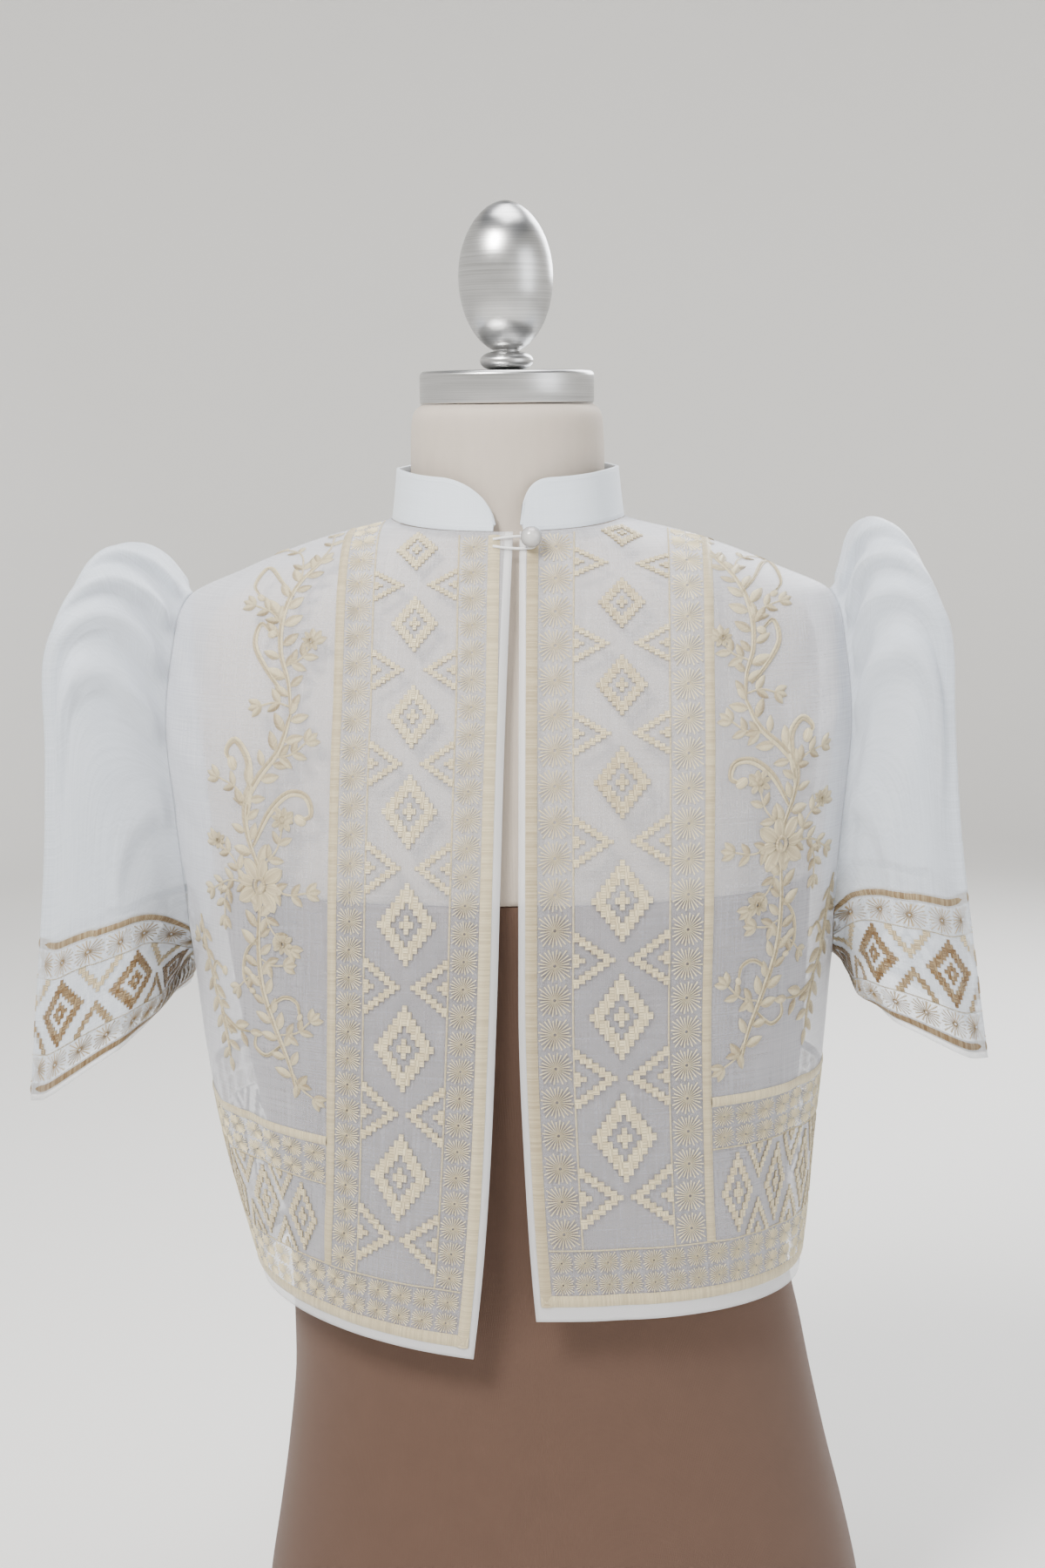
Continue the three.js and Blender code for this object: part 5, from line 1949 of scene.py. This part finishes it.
def make_light(name, place, size, power, tint):
    """One soft oblong light that faces the object."""
    lamp = bpy.data.lights.new(name, "AREA")
    lamp.shape = "RECTANGLE"
    lamp.size, lamp.size_y = size
    lamp.energy = power
    lamp.color = tint
    light = bpy.data.objects.new(name, lamp)
    bpy.context.scene.collection.objects.link(light)
    light.location = place
    light.rotation_euler = (LIT_PLACE - Vector(place)).to_track_quat("-Z", "Y").to_euler()


def make_world(settings):
    """Even, faintly cool light from all round."""
    world = bpy.data.worlds.new("studio_air")
    world.use_nodes = True
    ground = world.node_tree.nodes["Background"]
    ground.inputs["Color"].default_value = (0.92, 0.95, 1.0, 1)
    ground.inputs["Strength"].default_value = settings.air_brightness
    bpy.context.scene.world = world


# ---- settings a user can change


COLOUR = {"subtype": "COLOR", "size": 3, "min": 0, "max": 1}
LENGTH = {"subtype": "DISTANCE", "unit": "LENGTH", "precision": 5}


class BoleroCloth(bpy.types.PropertyGroup):
    """Cloth of the body, sleeves and collar."""

    cloth_thickness: bpy.props.FloatProperty(
        name="Sheer cloth thickness", description="Wall of the body panels and sleeves",
        default=0.0005, min=0.0002, max=0.0012, **LENGTH)
    collar_thickness: bpy.props.FloatProperty(
        name="Collar thickness", description="The doubled collar band",
        default=0.0018, min=0.001, max=0.003, **LENGTH)
    body_colour: bpy.props.FloatVectorProperty(
        name="Body colour", description="Sheer cloth of the fronts and back",
        default=(0.87, 0.88, 0.94), **COLOUR)
    body_opacity: bpy.props.FloatProperty(
        name="Body opacity", description="How much each face of the sheer body cloth hides",
        default=0.23, min=0.05, max=1, subtype="FACTOR")
    sleeve_colour: bpy.props.FloatVectorProperty(
        name="Sleeve colour", description="Crisp cloth of the sleeves",
        default=(0.86, 0.91, 0.98), **COLOUR)
    sleeve_opacity: bpy.props.FloatProperty(
        name="Sleeve opacity", description="How much each face of the sleeve cloth hides",
        default=0.42, min=0.05, max=1, subtype="FACTOR")
    collar_colour: bpy.props.FloatVectorProperty(
        name="Collar colour", description="Doubled collar cloth",
        default=(0.80, 0.86, 0.93), **COLOUR)


class BoleroEmbroidery(bpy.types.PropertyGroup):
    """Thread colours."""

    pale_thread: bpy.props.FloatVectorProperty(
        name="Pale gold thread", description="Leaves, stars and satin edges",
        default=(0.84, 0.745, 0.52), **COLOUR)
    # Tones towards this colour are partly the thread's own brown gold and partly painted shade: the deeper
    # leaf halves and stem lines, the left front's upper diamonds and part of the sleeve bands' brown.
    deep_thread: bpy.props.FloatVectorProperty(
        name="Brown gold thread", description="Diamonds and the sleeve bands",
        default=(0.20, 0.115, 0.045), **COLOUR)


class BoleroForm(bpy.types.PropertyGroup):
    """The dress form."""

    upper_colour: bpy.props.FloatVectorProperty(
        name="Upper cover", description="Knit over the chest and neck",
        default=(0.62, 0.55, 0.48), **COLOUR)
    # The lower cover's colour is partly the cover's own tan and partly painted shade, deepened for the shade
    # on the form's lower part.
    lower_tan_and_painted_shade: bpy.props.FloatVectorProperty(
        name="Lower cover", description="Knit over the waist and hips",
        default=(0.14, 0.085, 0.062), **COLOUR)
    rim: bpy.props.FloatProperty(
        name="Rim roll", description="Rounding where a cover is turned over",
        default=0.0015, min=0, max=0.004, **LENGTH)


class BoleroStudio(bpy.types.PropertyGroup):
    """The studio round the object."""

    backdrop_colour: bpy.props.FloatVectorProperty(
        name="Backdrop colour", description="Floor and wall",
        default=(0.86, 0.85, 0.83), **COLOUR)
    air_brightness: bpy.props.FloatProperty(
        name="Fill brightness", description="Even light from all round", default=0.19, min=0, max=3)
    key_power: bpy.props.FloatProperty(
        name="Key light", description="Power of the large soft light",
        default=56.0, min=0, max=600, unit="POWER")


# ---- operators


class BOLERO_OT_form(bpy.types.Operator):
    """Build the dress form's two covered parts"""

    bl_idname = "bolero.form"
    bl_label = "Dress form"

    def execute(self, context):
        form = context.scene.bolero_form
        lower = make_form_part("form_lower_cover", 0, COVER_JOIN_HEIGHT, 60)
        roll_edges(lower, form.rim / MM, 3, 50)
        upper = make_form_part("form_upper_cover", COVER_JOIN_HEIGHT + SEAM_GAP, NECK_TOP_HEIGHT, 90)
        # The tan knit's deepened colour carries painted shade.
        tan = knit_material("tan_knit", form.lower_tan_and_painted_shade)
        cream = knit_material("cream_knit", form.upper_colour)
        finish_piece(lower, "form_torso_lower", tan)
        finish_piece(upper, "form_torso_upper", cream)
        return {"FINISHED"}


class BOLERO_OT_metal(bpy.types.Operator):
    """Build the neck cap and the egg-shaped top"""

    bl_idname = "bolero.metal"
    bl_label = "Neck cap and finial"

    def execute(self, context):
        metal = metal_material()
        finish_piece(make_neck_cap(), "form_neck_cap", metal)
        finish_piece(make_finial(), "form_finial", metal)
        return {"FINISHED"}


class BOLERO_OT_body(bpy.types.Operator):
    """Build the two fronts and the back of the bolero, with their embroidery"""

    bl_idname = "bolero.body"
    bl_label = "Bolero body"

    def execute(self, context):
        cloth = context.scene.bolero_cloth
        for name in ("front_left", "front_right", "back"):
            layout = PanelLayout(name)
            panel = make_body_panel(layout, cloth.cloth_thickness)
            finish_piece(panel, name, body_finish(name, cloth))
            for work in embroider_panel(layout):
                finish_piece(work, None, floss())
        return {"FINISHED"}


class BOLERO_OT_sleeves(bpy.types.Operator):
    """Build the two butterfly sleeves, with their embroidered bands"""

    bl_idname = "bolero.sleeves"
    bl_label = "Sleeves"

    def execute(self, context):
        cloth = context.scene.bolero_cloth
        finish = sleeve_finish(cloth)
        for name in ("sleeve_left", "sleeve_right"):
            finish_piece(make_sleeve(name, cloth.cloth_thickness), name, finish)
            finish_piece(embroider_sleeve(name), None, floss())
        return {"FINISHED"}


class BOLERO_OT_collar(bpy.types.Operator):
    """Build the stand collar, its pearl and its loop"""

    bl_idname = "bolero.collar"
    bl_label = "Collar and fastening"

    def execute(self, context):
        cloth = context.scene.bolero_cloth
        finish_piece(make_collar(cloth.collar_thickness), "collar", collar_material(cloth))
        finish_piece(make_pearl(), "button", pearl_material())
        finish_piece(make_button_loop(), "button_loop", cord_material())
        return {"FINISHED"}


class BOLERO_OT_studio(bpy.types.Operator):
    """Build the backdrop, lights, air and camera"""

    bl_idname = "bolero.studio"
    bl_label = "Studio"

    def execute(self, context):
        settings = context.scene.bolero_studio
        make_backdrop(settings)
        make_world(settings)
        for name, place, size, share, tint in LIGHTS:
            make_light(name, place, size, settings.key_power * share, tint)
        context.scene.view_settings.look = "AgX - Medium High Contrast"
        make_camera()
        return {"FINISHED"}


class BOLERO_PT_panel(bpy.types.Panel):
    """Sizes, colours and the build steps"""

    bl_idname = "BOLERO_PT_panel"
    bl_label = "Bolero on a dress form"
    bl_space_type = "VIEW_3D"
    bl_region_type = "UI"
    bl_category = "Bolero"

    def draw(self, context):
        for owner, group in GROUPS.items():
            box = self.layout.box()
            box.label(text=group.__doc__)
            for field in group.__annotations__:
                box.prop(getattr(context.scene, owner), field)
        for operator in OPERATORS:
            self.layout.operator(operator.bl_idname)


GROUPS = {
    "bolero_cloth": BoleroCloth,
    "bolero_embroidery": BoleroEmbroidery,
    "bolero_form": BoleroForm,
    "bolero_studio": BoleroStudio,
}
OPERATORS = (
    BOLERO_OT_form,
    BOLERO_OT_metal,
    BOLERO_OT_body,
    BOLERO_OT_sleeves,
    BOLERO_OT_collar,
    BOLERO_OT_studio,
)


def register():
    for owner, settings in GROUPS.items():
        bpy.utils.register_class(settings)
        setattr(bpy.types.Scene, owner, bpy.props.PointerProperty(type=settings))
    for operator in OPERATORS:
        bpy.utils.register_class(operator)
    bpy.utils.register_class(BOLERO_PT_panel)


def unregister():
    bpy.utils.unregister_class(BOLERO_PT_panel)
    for operator in reversed(OPERATORS):
        bpy.utils.unregister_class(operator)
    for owner, settings in GROUPS.items():
        delattr(bpy.types.Scene, owner)
        bpy.utils.unregister_class(settings)


def main():
    register()
    bpy.ops.bolero.form()
    bpy.ops.bolero.metal()
    bpy.ops.bolero.body()
    bpy.ops.bolero.sleeves()
    bpy.ops.bolero.collar()
    bpy.ops.bolero.studio()


if __name__ == "__main__":
    main()
